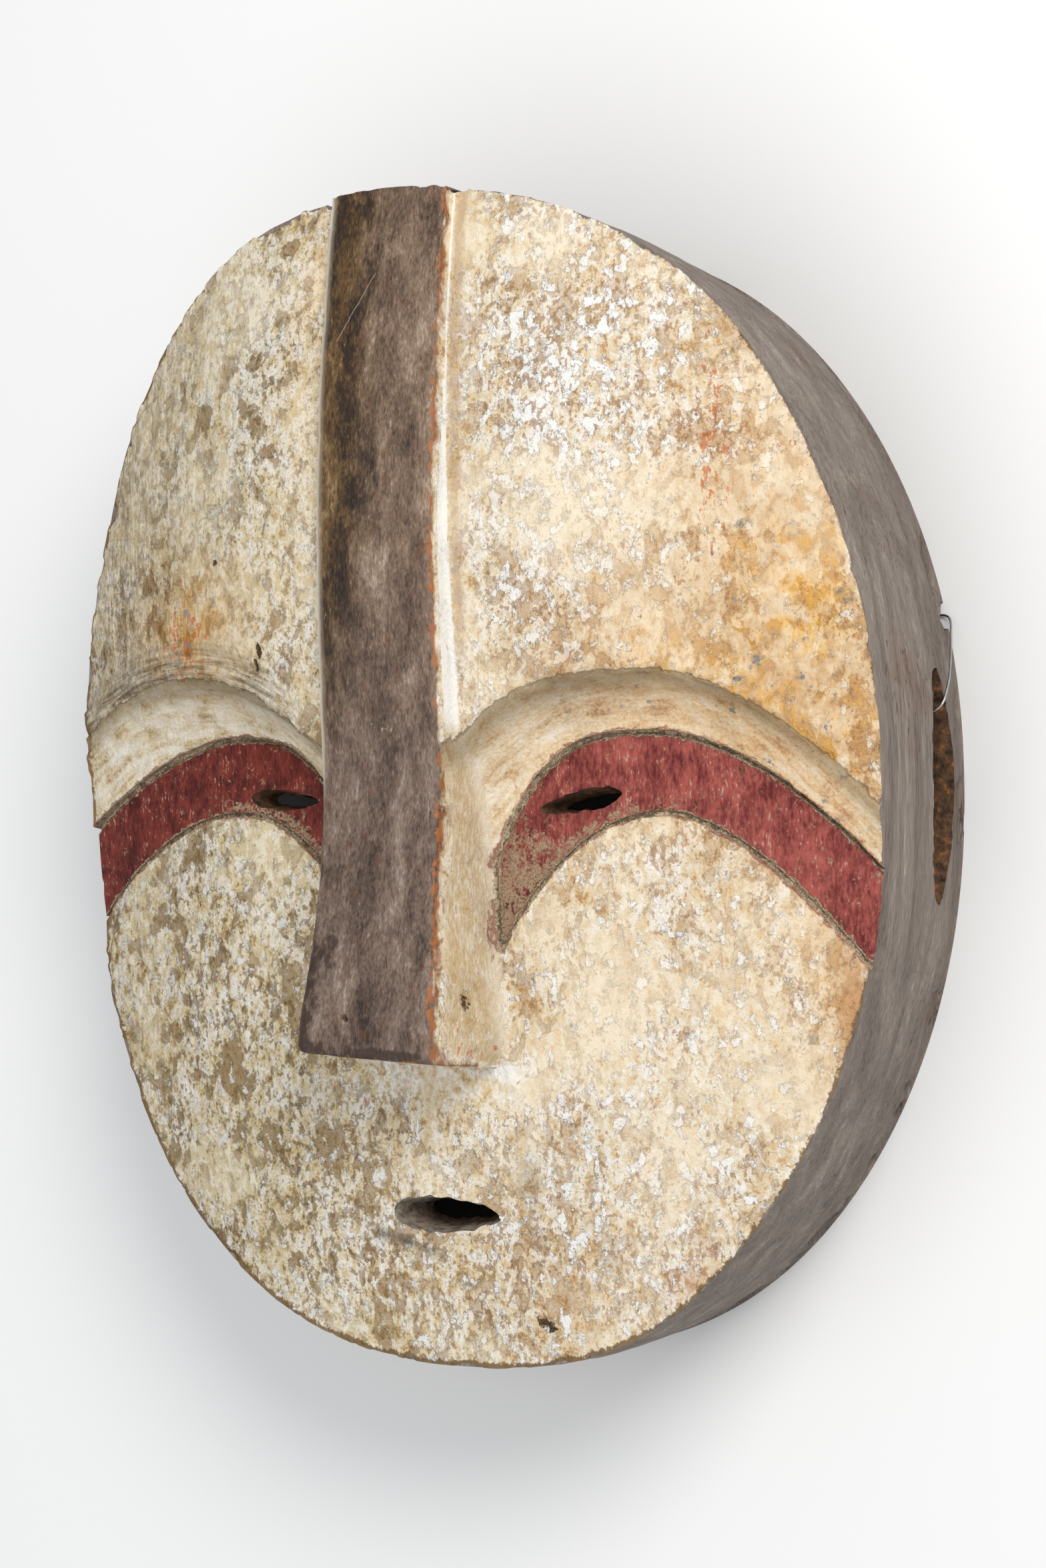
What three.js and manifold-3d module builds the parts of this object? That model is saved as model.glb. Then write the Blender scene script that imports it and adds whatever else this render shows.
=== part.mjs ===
// A carved wooden mask from Central Africa, lying on its back with its face up.
// It is one hollowed block: a domed oval face, a long nose that runs up the forehead as a dark bar,
// two arched brows with a hollow below each, a sunk red band with a narrow eye, and a small mouth.
// Millimetres. +X is the viewer's right, +Y the forehead, +Z out of the face.
// The origin is under the middle of the mask, at the level of its back rim.

import * as THREE from 'three';
import { mergeVertices } from 'three/addons/utils/BufferGeometryUtils.js';
import Module from 'manifold-3d';

const wasm = await Module();
wasm.setup();

// The oval outline of the face: a rounded ellipse that leans a little to one side at the top, and
// swells or falls in where the carver left it uneven. Angles start at the viewer's right.
const HALF_HEIGHT = 177;
const HALF_WIDTH = 140.5;
const OVAL_POWER = 2.18;
const OVAL_LEAN = -1.1;
const OVAL_SWELLS = [
  { degrees: 111.5, by: 3.5, spread: 13.5 },
  { degrees: 55.5, by: 1.8, spread: 9 },
  { degrees: -71, by: 3.5, spread: 14 },
  { degrees: 148, by: -1.4, spread: 9 },
];

// The back rim is a slightly smaller oval, lower by a few millimetres and with rounder shoulders
const BACK_HALF_HEIGHT = 173.4;
const BACK_HALF_WIDTH = 136.6;
const BACK_CENTRE_X = -0.6;
const BACK_CENTRE_Y = -2.8;
const BACK_SHOULDER_FALL = 2.4;

// Height of the front rim above the back rim: at the cheeks, its slope and its rise to both ends
const RIM_Z = 66.9;
const RIM_SLOPE = 10.7;
const RIM_RISE = 17;

// The crease round the side wall, where two facets of the carving meet
const CREASE_LEVEL = 0.66;
const CREASE_BULGE = 1.2;

// Middle lines of the forehead's dome and of the cheeks and chin
const DOME_POWER = 2.2;
const FOREHEAD_TOP_Z = 105.5;
const FOREHEAD_TOP_Y = 75;
const FOREHEAD_FALL = 10.1;
const FOREHEAD_SPAN = 105;
const CHEEK_Z = 84;
const CHIN_START_Y = -80;
const CHIN_FALL = 10.4;
const CHIN_POWER = 1.6;

// The nose bar: its centre line, half width on top and at the foot, and height above the back rim
const NOSE_X = -5;
const NOSE_LEAN = -1.9;
const NOSE_END_Y = -84;
const NOSE_END_TILT = 3.4;
const NOSE_FOOT_SET = 1.6;
const NOSE_CROWN = 1.0;
const BAR_STATIONS = [
  { y: 178, top: 19.9, foot: 20.4, z: 100.6 },
  { y: 141, top: 20.2, foot: 20.8, z: 105.8 },
  { y: 110, top: 20.2, foot: 21.2, z: 109.6 },
  { y: 72, top: 19.9, foot: 21.8, z: 112.0 },
  { y: 32, top: 20.4, foot: 23.0, z: 110.6 },
  { y: -8, top: 20.4, foot: 23.3, z: 109.4 },
  { y: -44, top: 20.7, foot: 24.6, z: 114.6 },
  { y: -71, top: 22.6, foot: 26.6, z: 120.2 },
  { y: -79, top: 23.2, foot: 27.2, z: 121.4 },
  { y: -86, top: 23.6, foot: 24.4, z: 122.2 },
];

// Arches over each eye, measured from the nose's centre line: peak, then span, drop and power of
// the curve towards the nose and towards the rim. The hollows of the right side hang lower.
const BROW = {
  right: { x: 82, y: 29.3, inSpan: 60, inDrop: 20, inPower: 3, outSpan: 63, outDrop: 40, outPower: 1.8 },
  left: { x: 82, y: 32, inSpan: 55, inDrop: 24, inPower: 2.2, outSpan: 53, outDrop: 15.5, outPower: 2 },
};
const BAND_TOP = {
  right: { x: 75, y: 12.8, inSpan: 51, inDrop: 38, inPower: 3, outSpan: 69, outDrop: 41, outPower: 1.9 },
  left: { x: 71, y: 14.6, inSpan: 47, inDrop: 34, inPower: 3, outSpan: 63, outDrop: 25.5, outPower: 1.6 },
};
const CHEEK_TOP = {
  right: { x: 80, y: -12.4, inSpan: 53, inDrop: 38.6, inPower: 2.1, outSpan: 59, outDrop: 45.5, outPower: 1.7 },
  left: { x: 71, y: -10, inSpan: 44, inDrop: 30, inPower: 2.3, outSpan: 60, outDrop: 29.7, outPower: 1.8 },
};

// Relief between the arches
const COVE_STEP = 2.2;
const BAND_SINK = 1.5;
const BAND_RIM_SINK = { left: 3.6, right: 0.6 };
const GROOVE_DEPTH = 1.5;
const GROOVE_WIDTH = 2.6;
const EDGE_GAP = 1.2;

// Eyes and mouth, as pointed slits cut through the face: centre, half length, half width and tilt
const EYES = [
  { x: 48.5, y: -7.9, halfLength: 14, halfWidth: 3.4, tilt: 0.17, blunt: 0.5 },
  { x: -57.2, y: -5.2, halfLength: 13.5, halfWidth: 3.2, tilt: -0.08, blunt: -0.3 },
];
const MOUTH = { x: 1, y: -131.6, halfLength: 18.8, halfWidth: 5.3, tilt: -0.03, blunt: -0.4, rake: 0.2 };

// A pointed slot through each side wall, near the back rim
const SIDE_SLOT = { y: -3.5, z: 17.3, halfLength: 35.2, halfWidth: 8.5, frontPower: 0.4 };

// The hollow back
const WALL = 11;
const FACE_THICKNESS = 12;
const FOREHEAD_THICKNESS = 14;
const HOLLOW_POWER = 8;
const HOLLOW_BLEND_LOW = 16;
const HOLLOW_BLEND_HIGH = 62;

// The hanging wire, passed through both slots and bent back round the rim in a shallow nick
const WIRE_RADIUS = 0.4;
const WIRE_SIDES = 8;
const NICK_Y = 49;
const NICK_HALF_WIDTH = 4;
const NICK_DEPTH = 2.6;

// How finely the face is divided
const SIDE_COLUMNS = 17;
const BAR_COLUMNS = 4;
const FOREHEAD_ROWS = 12;
const COVE_ROWS = 4;
const BAND_ROWS = 3;
const CHEEK_ROWS = 6;
const CHIN_ROWS = 11;

// How far the mask is moved, so that the origin is under its middle
const CENTRE_SHIFT = { x: 0.1, y: 0.5 };

const { abs, atan2, cos, exp, max, min, PI, pow, sign, sin } = Math;
const { clamp, degToRad, euclideanModulo, lerp, radToDeg, smoothstep } = THREE.MathUtils;

// The oval

const smoothOval = (degrees) => {
  const angle = degToRad(degrees);
  const x = HALF_WIDTH * sign(cos(angle)) * pow(abs(cos(angle)), 2 / OVAL_POWER);
  const y = HALF_HEIGHT * sign(sin(angle)) * pow(abs(sin(angle)), 2 / OVAL_POWER);
  return new THREE.Vector2(x, y);
};

const swellAt = (point) => {
  const heading = radToDeg(atan2(point.y, point.x));
  return OVAL_SWELLS.reduce((swell, { degrees, by, spread }) => {
    const away = euclideanModulo(heading - degrees + 180, 360) - 180;
    return swell + by * exp(-pow(away / spread, 2));
  }, 0);
};

const ovalPoint = (degrees) => {
  const point = smoothOval(degrees);
  point.multiplyScalar(1 + swellAt(point) / point.length());
  point.x += OVAL_LEAN * point.y / HALF_HEIGHT;
  return point;
};

// The value at which a test that starts out true turns false
const bisect = (start, end, isBefore) => {
  let low = start;
  let high = end;
  for (let step = 0; step < 26; step++) {
    const middle = (low + high) / 2;
    if (isBefore(middle)) {
      low = middle;
    } else {
      high = middle;
    }
  }
  return low;
};

// Where the rim is at a height y, on the right (turn 1) or the left (turn -1)
const rimX = (turn, y) => {
  const around = (climb) => (turn > 0 ? climb : 180 - climb);
  return ovalPoint(around(bisect(-90, 90, (climb) => ovalPoint(around(climb)).y < y))).x;
};

// Where the rim is at a place x, at the top (end 1) or at the chin (end -1)
const ovalEndY = (x, end) => {
  const sweep = bisect(0, 180, (degrees) => ovalPoint(end * degrees).x > x);
  return ovalPoint(end * sweep).y;
};

const rimZ = (y) => {
  const t = y / HALF_HEIGHT;
  return RIM_Z + RIM_SLOPE * t + RIM_RISE * t * t;
};

// The domed surfaces, each a middle line that falls away to the rim

const domeFall = (x, y) => {
  const right = rimX(1, y);
  const left = rimX(-1, y);
  const across = right > left ? min(abs(2 * x - right - left) / (right - left), 1) : 1;
  return 1 - pow(across, DOME_POWER);
};

const foreheadZ = (x, y) => {
  const middle = FOREHEAD_TOP_Z - FOREHEAD_FALL * pow((y - FOREHEAD_TOP_Y) / FOREHEAD_SPAN, 2);
  return rimZ(y) + max(middle - rimZ(y), 0) * domeFall(x, y);
};

const cheekZ = (x, y) => {
  const run = max((CHIN_START_Y - y) / (HALF_HEIGHT + CHIN_START_Y), 0);
  const middle = CHEEK_Z - CHIN_FALL * pow(run, CHIN_POWER);
  return rimZ(y) + max(middle - rimZ(y), 0) * domeFall(x, y);
};

// The nose bar, smooth between its stations

const noseX = (y) => NOSE_X + NOSE_LEAN * y / HALF_HEIGHT;

const barAt = (() => {
  const span = (key) => new THREE.SplineCurve(BAR_STATIONS.map((s) => new THREE.Vector2(s.y, s[key])));
  const curves = { top: span('top'), foot: span('foot'), z: span('z') };
  const last = BAR_STATIONS.length - 1;
  return (key, y) => {
    const at = clamp(y, BAR_STATIONS[last].y, BAR_STATIONS[0].y);
    const i = min(max(BAR_STATIONS.findIndex((s) => s.y <= at) - 1, 0), last - 1);
    const place = bisect(i / last, (i + 1) / last, (t) => curves[key].getPoint(t).x > at);
    return curves[key].getPoint(place).y;
  };
})();

const archY = (arch, distance) => {
  const inward = distance < arch.x;
  const span = inward ? arch.inSpan : arch.outSpan;
  const drop = inward ? arch.inDrop : arch.outDrop;
  const power = inward ? arch.inPower : arch.outPower;
  return arch.y - drop * pow(abs(distance - arch.x) / span, power);
};

// A point of the face lies a share of the way from the nose's foot to the rim, on its own side

const sideX = (side, share, y) => {
  const turn = side === 'right' ? 1 : -1;
  const foot = turn * barAt('foot', y);
  const rim = rimX(turn, y) - noseX(y);
  return noseX(y) + lerp(foot, turn * max(turn * rim, abs(foot)), share);
};

const archPoint = (arch, side, share) => {
  let y = arch.y;
  for (let step = 0; step < 30; step++) {
    const next = archY(arch, abs(sideX(side, share, y) - noseX(y)));
    y = lerp(y, next, 0.5);
  }
  return y;
};

// The corner where the oval runs into the foot of the bar, at the top or at the chin
const cornerY = (side, end) => {
  const turn = side === 'right' ? 1 : -1;
  return ovalEndY(noseX(end * HALF_HEIGHT) + turn * barAt('foot', end * HALF_HEIGHT), end);
};

// Rows of the face from the top to the chin. Each tells its height on a side at a share of the way
// to the rim, and the relief there.

const rows = [];

const addRow = (heightOf, reliefOf, onBar = 'bar') => rows.push({ heightOf, reliefOf, onBar });

const bandFloor = (side, share, x, y) => cheekZ(x, y) - BAND_SINK - BAND_RIM_SINK[side] * pow(share, 4);

const coveFloor = (side, share, x, y) => cheekZ(x, y) - BAND_RIM_SINK[side] * 0.5 * pow(share, 4);

for (let i = 0; i < FOREHEAD_ROWS; i++) {
  const down = 1 - sin((PI / 2) * (1 - i / (FOREHEAD_ROWS - 1)));
  addRow(
    (side, share) => lerp(cornerY(side, 1), archPoint(BROW[side], side, share), down),
    (side, share, x, y) => foreheadZ(x, y),
  );
}
for (let i = 1; i <= COVE_ROWS; i++) {
  const down = i / COVE_ROWS;
  addRow(
    (side, share) => lerp(archPoint(BROW[side], side, share), archPoint(BAND_TOP[side], side, share), down),
    (side, share, x, y) => {
      const floor = coveFloor(side, share, x, y);
      const edge = max(foreheadZ(x, y), floor + COVE_STEP);
      return lerp(edge, floor, sin((PI / 2) * pow(down, 0.85)));
    },
  );
}
addRow(
  (side, share) => archPoint(BAND_TOP[side], side, share) - GROOVE_WIDTH / 2,
  (side, share, x, y) => bandFloor(side, share, x, y) - GROOVE_DEPTH,
);
for (let i = 0; i <= BAND_ROWS; i++) {
  const down = i / BAND_ROWS;
  addRow(
    (side, share) => lerp(
      archPoint(BAND_TOP[side], side, share) - GROOVE_WIDTH,
      archPoint(CHEEK_TOP[side], side, share) + GROOVE_WIDTH,
      down,
    ),
    (side, share, x, y) => bandFloor(side, share, x, y),
  );
}
addRow(
  (side, share) => archPoint(CHEEK_TOP[side], side, share) + EDGE_GAP,
  (side, share, x, y) => bandFloor(side, share, x, y) - GROOVE_DEPTH / 2,
);
for (let i = 0; i < CHEEK_ROWS; i++) {
  const down = i / (CHEEK_ROWS - 1);
  addRow(
    (side, share) => {
      const turn = side === 'right' ? -1 : 1;
      return lerp(archPoint(CHEEK_TOP[side], side, share), NOSE_END_Y + turn * NOSE_END_TILT / 2, down);
    },
    (side, share, x, y) => cheekZ(x, y) - BAND_RIM_SINK[side] * pow(share, 4) * pow(1 - down, 2),
  );
}
for (let i = 0; i < CHIN_ROWS; i++) {
  const down = sin((PI / 2) * i / (CHIN_ROWS - 1));
  addRow(
    (side, share) => {
      const turn = side === 'right' ? -1 : 1;
      return lerp(NOSE_END_Y - NOSE_FOOT_SET + turn * NOSE_END_TILT / 2, cornerY(side, -1), down);
    },
    (side, share, x, y) => cheekZ(x, y),
    'chin',
  );
}

// The vertices of one row, from the left rim over the nose to the right rim

const sideShare = (i) => pow(i / SIDE_COLUMNS, 1.25);

const rowVertices = (row, index) => {
  const points = [];
  const first = index === 0;
  const final = index === rows.length - 1;
  const footY = { left: row.heightOf('left', 0), right: row.heightOf('right', 0) };
  // At both ends of the oval a whole side runs into the corner beside the bar
  const addSide = (side, part) => {
    const share = first || final ? 0 : part;
    const y = row.heightOf(side, share);
    const x = sideX(side, share, y);
    points.push(new THREE.Vector3(x, y, row.reliefOf(side, share, x, y)));
  };
  for (let i = SIDE_COLUMNS; i >= 0; i--) {
    addSide('left', sideShare(i));
  }
  for (let i = 0; i <= BAR_COLUMNS; i++) {
    const across = i / BAR_COLUMNS;
    let y = lerp(footY.left, footY.right, across);
    const x = noseX(y) + barAt('top', y) * (2 * across - 1);
    if (first || final) {
      y = ovalEndY(x, first ? 1 : -1);
    }
    const crown = NOSE_CROWN * (1 - pow(2 * across - 1, 2));
    const z = row.onBar === 'bar' ? barAt('z', y) - NOSE_CROWN + crown : cheekZ(x, y);
    points.push(new THREE.Vector3(x, y, z));
  }
  for (let i = 0; i <= SIDE_COLUMNS; i++) {
    addSide('right', sideShare(i));
  }
  return points;
};

// Solids from grids of points

const toSolid = (points, faces) => {
  const geometry = new THREE.BufferGeometry();
  const values = points.flatMap((p) => [p.x, p.y, p.z]);
  geometry.setAttribute('position', new THREE.Float32BufferAttribute(values, 3));
  geometry.setIndex(faces.flat());
  return solidOf(geometry);
};

const solidOf = (geometry) => {
  const bare = geometry.clone();
  for (const name of Object.keys(bare.attributes)) {
    if (name !== 'position') {
      bare.deleteAttribute(name);
    }
  }
  const merged = mergeVertices(bare, 1e-3);
  const index = Array.from(merged.index.array);
  const kept = [];
  for (let i = 0; i < index.length; i += 3) {
    const [a, b, c] = index.slice(i, i + 3);
    if (a !== b && b !== c && c !== a) {
      kept.push(a, b, c);
    }
  }
  return new wasm.Manifold(new wasm.Mesh({
    numProp: 3,
    vertProperties: merged.attributes.position.array,
    triVerts: Uint32Array.from(kept),
  }));
};

const toGeometry = (solid) => {
  const mesh = solid.getMesh();
  const geometry = new THREE.BufferGeometry();
  geometry.setAttribute('position', new THREE.BufferAttribute(mesh.vertProperties, 3));
  geometry.setIndex(new THREE.BufferAttribute(mesh.triVerts, 1));
  geometry.computeVertexNormals();
  return geometry;
};

// The block: the carved face, the side wall with its crease, and a flat back without the swells

const backOutline = (smooth, inset = 0) => {
  const turn = atan2(smooth.y / HALF_HEIGHT, smooth.x / HALF_WIDTH);
  const shrink = 1 - BACK_SHOULDER_FALL * pow(sin(2 * turn), 2) / smooth.length();
  const x = BACK_CENTRE_X + (BACK_HALF_WIDTH - inset) * shrink * smooth.x / HALF_WIDTH;
  const y = BACK_CENTRE_Y + (BACK_HALF_HEIGHT - inset) * shrink * smooth.y / HALF_HEIGHT;
  return new THREE.Vector2(x, y);
};

const backPoint = (p) => {
  const smooth = new THREE.Vector2(p.x, p.y);
  smooth.multiplyScalar(1 - swellAt(smooth) / smooth.length());
  const { x, y } = backOutline(smooth);
  return new THREE.Vector3(x, y, 0);
};

const creasePoint = (p) => {
  const point = p.clone().lerp(backPoint(p), 1 - CREASE_LEVEL);
  const outward = new THREE.Vector2(point.x, point.y).normalize().multiplyScalar(CREASE_BULGE);
  return new THREE.Vector3(point.x + outward.x, point.y + outward.y, p.z * CREASE_LEVEL);
};

const carvedBlock = () => {
  const grid = rows.map(rowVertices);
  const width = grid[0].length;
  const points = grid.flat();
  const faces = [];
  const at = (row, column) => row * width + column;
  const addQuad = (a, b, c, d) => {
    const across = points[a].distanceTo(points[c]);
    const along = points[b].distanceTo(points[d]);
    faces.push(...(across < along ? [[a, b, c], [a, c, d]] : [[a, b, d], [b, c, d]]));
  };
  for (let row = 0; row + 1 < grid.length; row++) {
    for (let column = 0; column + 1 < width; column++) {
      addQuad(at(row, column), at(row + 1, column), at(row + 1, column + 1), at(row, column + 1));
    }
  }

  const barStart = SIDE_COLUMNS;
  const barEnd = SIDE_COLUMNS + BAR_COLUMNS + 2;
  const last = grid.length - 1;
  const loop = [];
  for (let column = barStart; column <= barEnd; column++) {
    loop.push(at(0, column));
  }
  for (let row = 1; row < last; row++) {
    loop.push(at(row, width - 1));
  }
  for (let column = barEnd; column >= barStart; column--) {
    loop.push(at(last, column));
  }
  for (let row = last - 1; row > 0; row--) {
    loop.push(at(row, 0));
  }

  const crease = loop.map((i) => points.push(creasePoint(points[i])) - 1);
  const back = loop.map((i) => points.push(backPoint(points[i])) - 1);
  const centre = points.push(new THREE.Vector3(0, 0, 0)) - 1;
  loop.forEach((_, i) => {
    const next = (i + 1) % loop.length;
    addQuad(loop[i], loop[next], crease[next], crease[i]);
    addQuad(crease[i], crease[next], back[next], back[i]);
    faces.push([back[i], back[next], centre]);
  });
  return toSolid(points, faces);
};

// The hollow, a deep bowl that follows the face from behind

const hollowZ = (x, y) => {
  const high = smoothstep(y, HOLLOW_BLEND_LOW, HOLLOW_BLEND_HIGH);
  return lerp(cheekZ(x, y) - FACE_THICKNESS, foreheadZ(x, y) - FOREHEAD_THICKNESS, high);
};

const hollow = () => {
  const shares = [1, 0.985, 0.955, 0.91, 0.84, 0.72, 0.55, 0.36, 0.18];
  const around = 56;
  const points = [];
  const faces = [];
  const ring = (share, level) => {
    for (let i = 0; i < around; i++) {
      const inner = backOutline(smoothOval((360 * i) / around), WALL);
      const x = lerp(BACK_CENTRE_X, inner.x, share);
      const y = lerp(BACK_CENTRE_Y, inner.y, share);
      const z = level ?? hollowZ(x, y) * pow(1 - pow(share, HOLLOW_POWER), 1 / 3);
      points.push(new THREE.Vector3(x, y, z));
    }
  };
  ring(1, -5);
  shares.forEach((share) => ring(share));
  const rings = shares.length + 1;
  for (let r = 0; r + 1 < rings; r++) {
    for (let i = 0; i < around; i++) {
      const a = r * around + i;
      const b = r * around + ((i + 1) % around);
      faces.push([a, b, b + around], [a, b + around, a + around]);
    }
  }
  const below = points.push(new THREE.Vector3(BACK_CENTRE_X, BACK_CENTRE_Y, -5)) - 1;
  const above = points.push(new THREE.Vector3(BACK_CENTRE_X, BACK_CENTRE_Y, hollowZ(0, BACK_CENTRE_Y))) - 1;
  for (let i = 0; i < around; i++) {
    const next = (i + 1) % around;
    const top = (rings - 1) * around;
    faces.push([next, i, below], [top + i, top + next, above]);
  }
  return toSolid(points, faces);
};

// Pointed slits: a spindle outline pushed through the wood

const spindle = ({ halfLength, halfWidth, blunt = 0, frontPower = 0.75, steps = 7 }) => {
  const edge = (turn, power) => Array.from({ length: steps }, (_, i) => {
    const along = cos((PI * i) / steps) * turn;
    const shift = blunt * (1 - along * along) * 0.5;
    const out = turn * halfWidth * pow(max(1 - along * along, 0), power);
    return new THREE.Vector2(halfLength * clamp(along + shift, -1, 1), out);
  });
  return new THREE.Shape([...edge(1, frontPower), ...edge(-1, 0.75)]);
};

const faceSlit = ({ x, y, tilt, rake = 0, ...outline }) => {
  const depth = 60;
  const geometry = new THREE.ExtrudeGeometry(spindle(outline), { depth, bevelEnabled: false });
  geometry.translate(0, 0, -depth / 2);
  geometry.rotateZ(tilt);
  geometry.rotateX(rake);
  geometry.translate(x, y, cheekZ(x, y));
  return solidOf(geometry);
};

const sideSlot = (turn) => {
  const { y, z, ...outline } = SIDE_SLOT;
  const depth = 60;
  const geometry = new THREE.ExtrudeGeometry(spindle({ ...outline, steps: 10 }), {
    depth,
    bevelEnabled: false,
  });
  geometry.translate(0, 0, -depth / 2);
  geometry.rotateZ(PI / 2);
  geometry.rotateY(PI / 2);
  geometry.translate(turn * BACK_HALF_WIDTH, y, z);
  return solidOf(geometry);
};

// The nick in the back rim, where the wire comes round it
const rimNick = (turn) => {
  const geometry = new THREE.CylinderGeometry(1, 1, 4 * WALL, 16);
  geometry.rotateZ(PI / 2);
  geometry.scale(1, NICK_HALF_WIDTH, NICK_DEPTH);
  geometry.translate(turn * (BACK_HALF_WIDTH - WALL / 2), NICK_Y, 0);
  return solidOf(geometry);
};

const maskSolid = () => {
  const cuts = [hollow(), ...EYES.map(faceSlit), faceSlit(MOUTH)];
  for (const turn of [1, -1]) {
    cuts.push(sideSlot(turn), rimNick(turn));
  }
  return cuts.reduce((solid, cut) => solid.subtract(cut), carvedBlock());
};

// The wire's route, from its short end beside the right slot to its short end beside the left one

const wireRoute = () => {
  const end = (turn) => {
    const along = (x) => BACK_CENTRE_X + turn * x;
    return [
      [along(106), 44, 5.5],
      [along(113), 47.5, 3],
      [along(119), NICK_Y, 1.4],
      [along(126), NICK_Y, 1.2],
      [along(131.2), NICK_Y, 1.3],
      [along(133.8), 47.6, 3.4],
      [along(136), 42, 7.6],
      [along(138.4), 33, 13.4],
      [along(139.6), 26, 18],
      [along(138.6), 20.5, 20.8],
      [along(133), 18, 20.8],
      [along(125), 18.5, 18.6],
      [along(115), 25, 13],
      [along(100), 39, 8.5],
    ];
  };
  const middle = [[62, 51, 7.4], [0, 56, 7], [-62, 51, 7.4]];
  const points = [...end(1), ...middle, ...end(-1).reverse()];
  return new THREE.CatmullRomCurve3(points.map((p) => new THREE.Vector3(...p)), false, 'centripetal');
};

const wireGeometry = () => {
  const section = new THREE.Shape(
    Array.from({ length: WIRE_SIDES }, (_, i) => {
      const angle = (2 * PI * i) / WIRE_SIDES;
      return new THREE.Vector2(WIRE_RADIUS * cos(angle), WIRE_RADIUS * sin(angle));
    }),
  );
  return new THREE.ExtrudeGeometry(section, { extrudePath: wireRoute(), steps: 110 });
};

// The two pieces

const group = new THREE.Group();

const mask = new THREE.Mesh(
  toGeometry(maskSolid()),
  new THREE.MeshStandardMaterial({ color: '#d9c7a3', roughness: 0.9, metalness: 0 }),
);
mask.name = 'mask';

const wire = new THREE.Mesh(
  wireGeometry(),
  new THREE.MeshStandardMaterial({ color: '#b9bbbd', roughness: 0.35, metalness: 1 }),
);
wire.name = 'hanging_wire';

group.add(mask, wire);
group.position.set(CENTRE_SHIFT.x, CENTRE_SHIFT.y, 0);

export default group;
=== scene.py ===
"""A carved Central African face mask, lying face up on a pale floor in soft studio light."""

import math

import bpy
import numpy as np
from mathutils import Matrix, Vector, noise


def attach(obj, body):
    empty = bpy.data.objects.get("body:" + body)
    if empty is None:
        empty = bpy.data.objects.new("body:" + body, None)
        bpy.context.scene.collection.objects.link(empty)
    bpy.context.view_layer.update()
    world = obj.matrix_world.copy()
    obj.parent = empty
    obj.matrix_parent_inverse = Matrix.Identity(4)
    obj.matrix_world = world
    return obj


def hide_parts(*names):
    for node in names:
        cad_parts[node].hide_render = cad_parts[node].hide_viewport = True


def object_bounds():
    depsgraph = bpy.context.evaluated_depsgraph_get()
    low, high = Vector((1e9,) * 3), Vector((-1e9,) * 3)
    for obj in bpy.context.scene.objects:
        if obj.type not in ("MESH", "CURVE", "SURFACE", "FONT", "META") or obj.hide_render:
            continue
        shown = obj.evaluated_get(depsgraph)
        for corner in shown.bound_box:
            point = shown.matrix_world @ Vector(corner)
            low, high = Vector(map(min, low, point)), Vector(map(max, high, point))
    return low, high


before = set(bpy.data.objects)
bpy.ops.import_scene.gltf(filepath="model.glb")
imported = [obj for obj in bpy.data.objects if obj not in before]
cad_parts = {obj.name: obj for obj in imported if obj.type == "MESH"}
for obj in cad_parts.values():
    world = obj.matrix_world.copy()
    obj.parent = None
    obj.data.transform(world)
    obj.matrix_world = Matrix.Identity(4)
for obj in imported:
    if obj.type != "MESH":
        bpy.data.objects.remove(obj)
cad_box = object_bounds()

# The camera
# The photograph looks at the mask from about 30 degrees to its right and a little from below.
# The mask lies here, so the same view looks down on it. The picture is upright.

MM = 0.001
CAMERA_PLACE = Vector((726.08, -58.18, 1289.6)) * MM
CAMERA_RIGHT = Vector((0.866037, -0.004106, -0.499963))
CAMERA_UP = Vector((0.023715, 0.999178, 0.032873))
LENS_MM = 107.23
SENSOR_HEIGHT_MM = 36.0

camera_data = bpy.data.cameras.new("camera")
camera_data.sensor_fit = "VERTICAL"
camera_data.sensor_height = SENSOR_HEIGHT_MM
camera_data.lens = LENS_MM
camera_data.clip_end = 20.0
camera = bpy.data.objects.new("camera", camera_data)
bpy.context.scene.collection.objects.link(camera)
turn = Matrix((CAMERA_RIGHT, CAMERA_UP, CAMERA_RIGHT.cross(CAMERA_UP))).transposed()
camera.matrix_world = Matrix.Translation(CAMERA_PLACE) @ turn.to_4x4()
bpy.context.scene.camera = camera

# The mask's forms
# One block of light wood, carved by eye: a domed oval face, a long nose bar, brows cut in arches
# over sunk red bands, and slit eyes and mouth. Sizes are in millimetres, as the carver's rule reads.

SHIFT = np.array((0.1, 0.5))
HALF_HEIGHT = 177.0
HALF_WIDTH = 140.5
OVAL_POWER = 2.18
OVAL_LEAN = -1.1
# Where the oval swells or falls short: the heading in degrees, by how much, and the spread in degrees.
OVAL_SWELLS = ((111.5, 3.5, 13.5), (55.5, 1.8, 9.0), (-71.0, 3.5, 14.0), (148.0, -1.4, 9.0))
BACK_HALF_HEIGHT = 173.4
BACK_HALF_WIDTH = 136.6
BACK_CENTRE = np.array((-0.6, -2.8))
BACK_SHOULDER_FALL = 2.4
RIM_Z, RIM_SLOPE, RIM_RISE = 66.9, 10.7, 17.0
CREASE_DOWN = 0.34
CREASE_BULGE = 1.2
DOME_POWER = 2.2
FOREHEAD_TOP_Z, FOREHEAD_TOP_Y, FOREHEAD_FALL, FOREHEAD_SPAN = 105.5, 75.0, 10.1, 105.0
CHEEK_Z, CHIN_START_Y, CHIN_FALL, CHIN_POWER = 84.0, -80.0, 10.4, 1.6
NOSE_X, NOSE_LEAN = -5.0, -1.9
NOSE_END_Y, NOSE_END_TILT, NOSE_FOOT_SET, NOSE_CROWN = -84.0, 3.4, 1.6, 1.0
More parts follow.
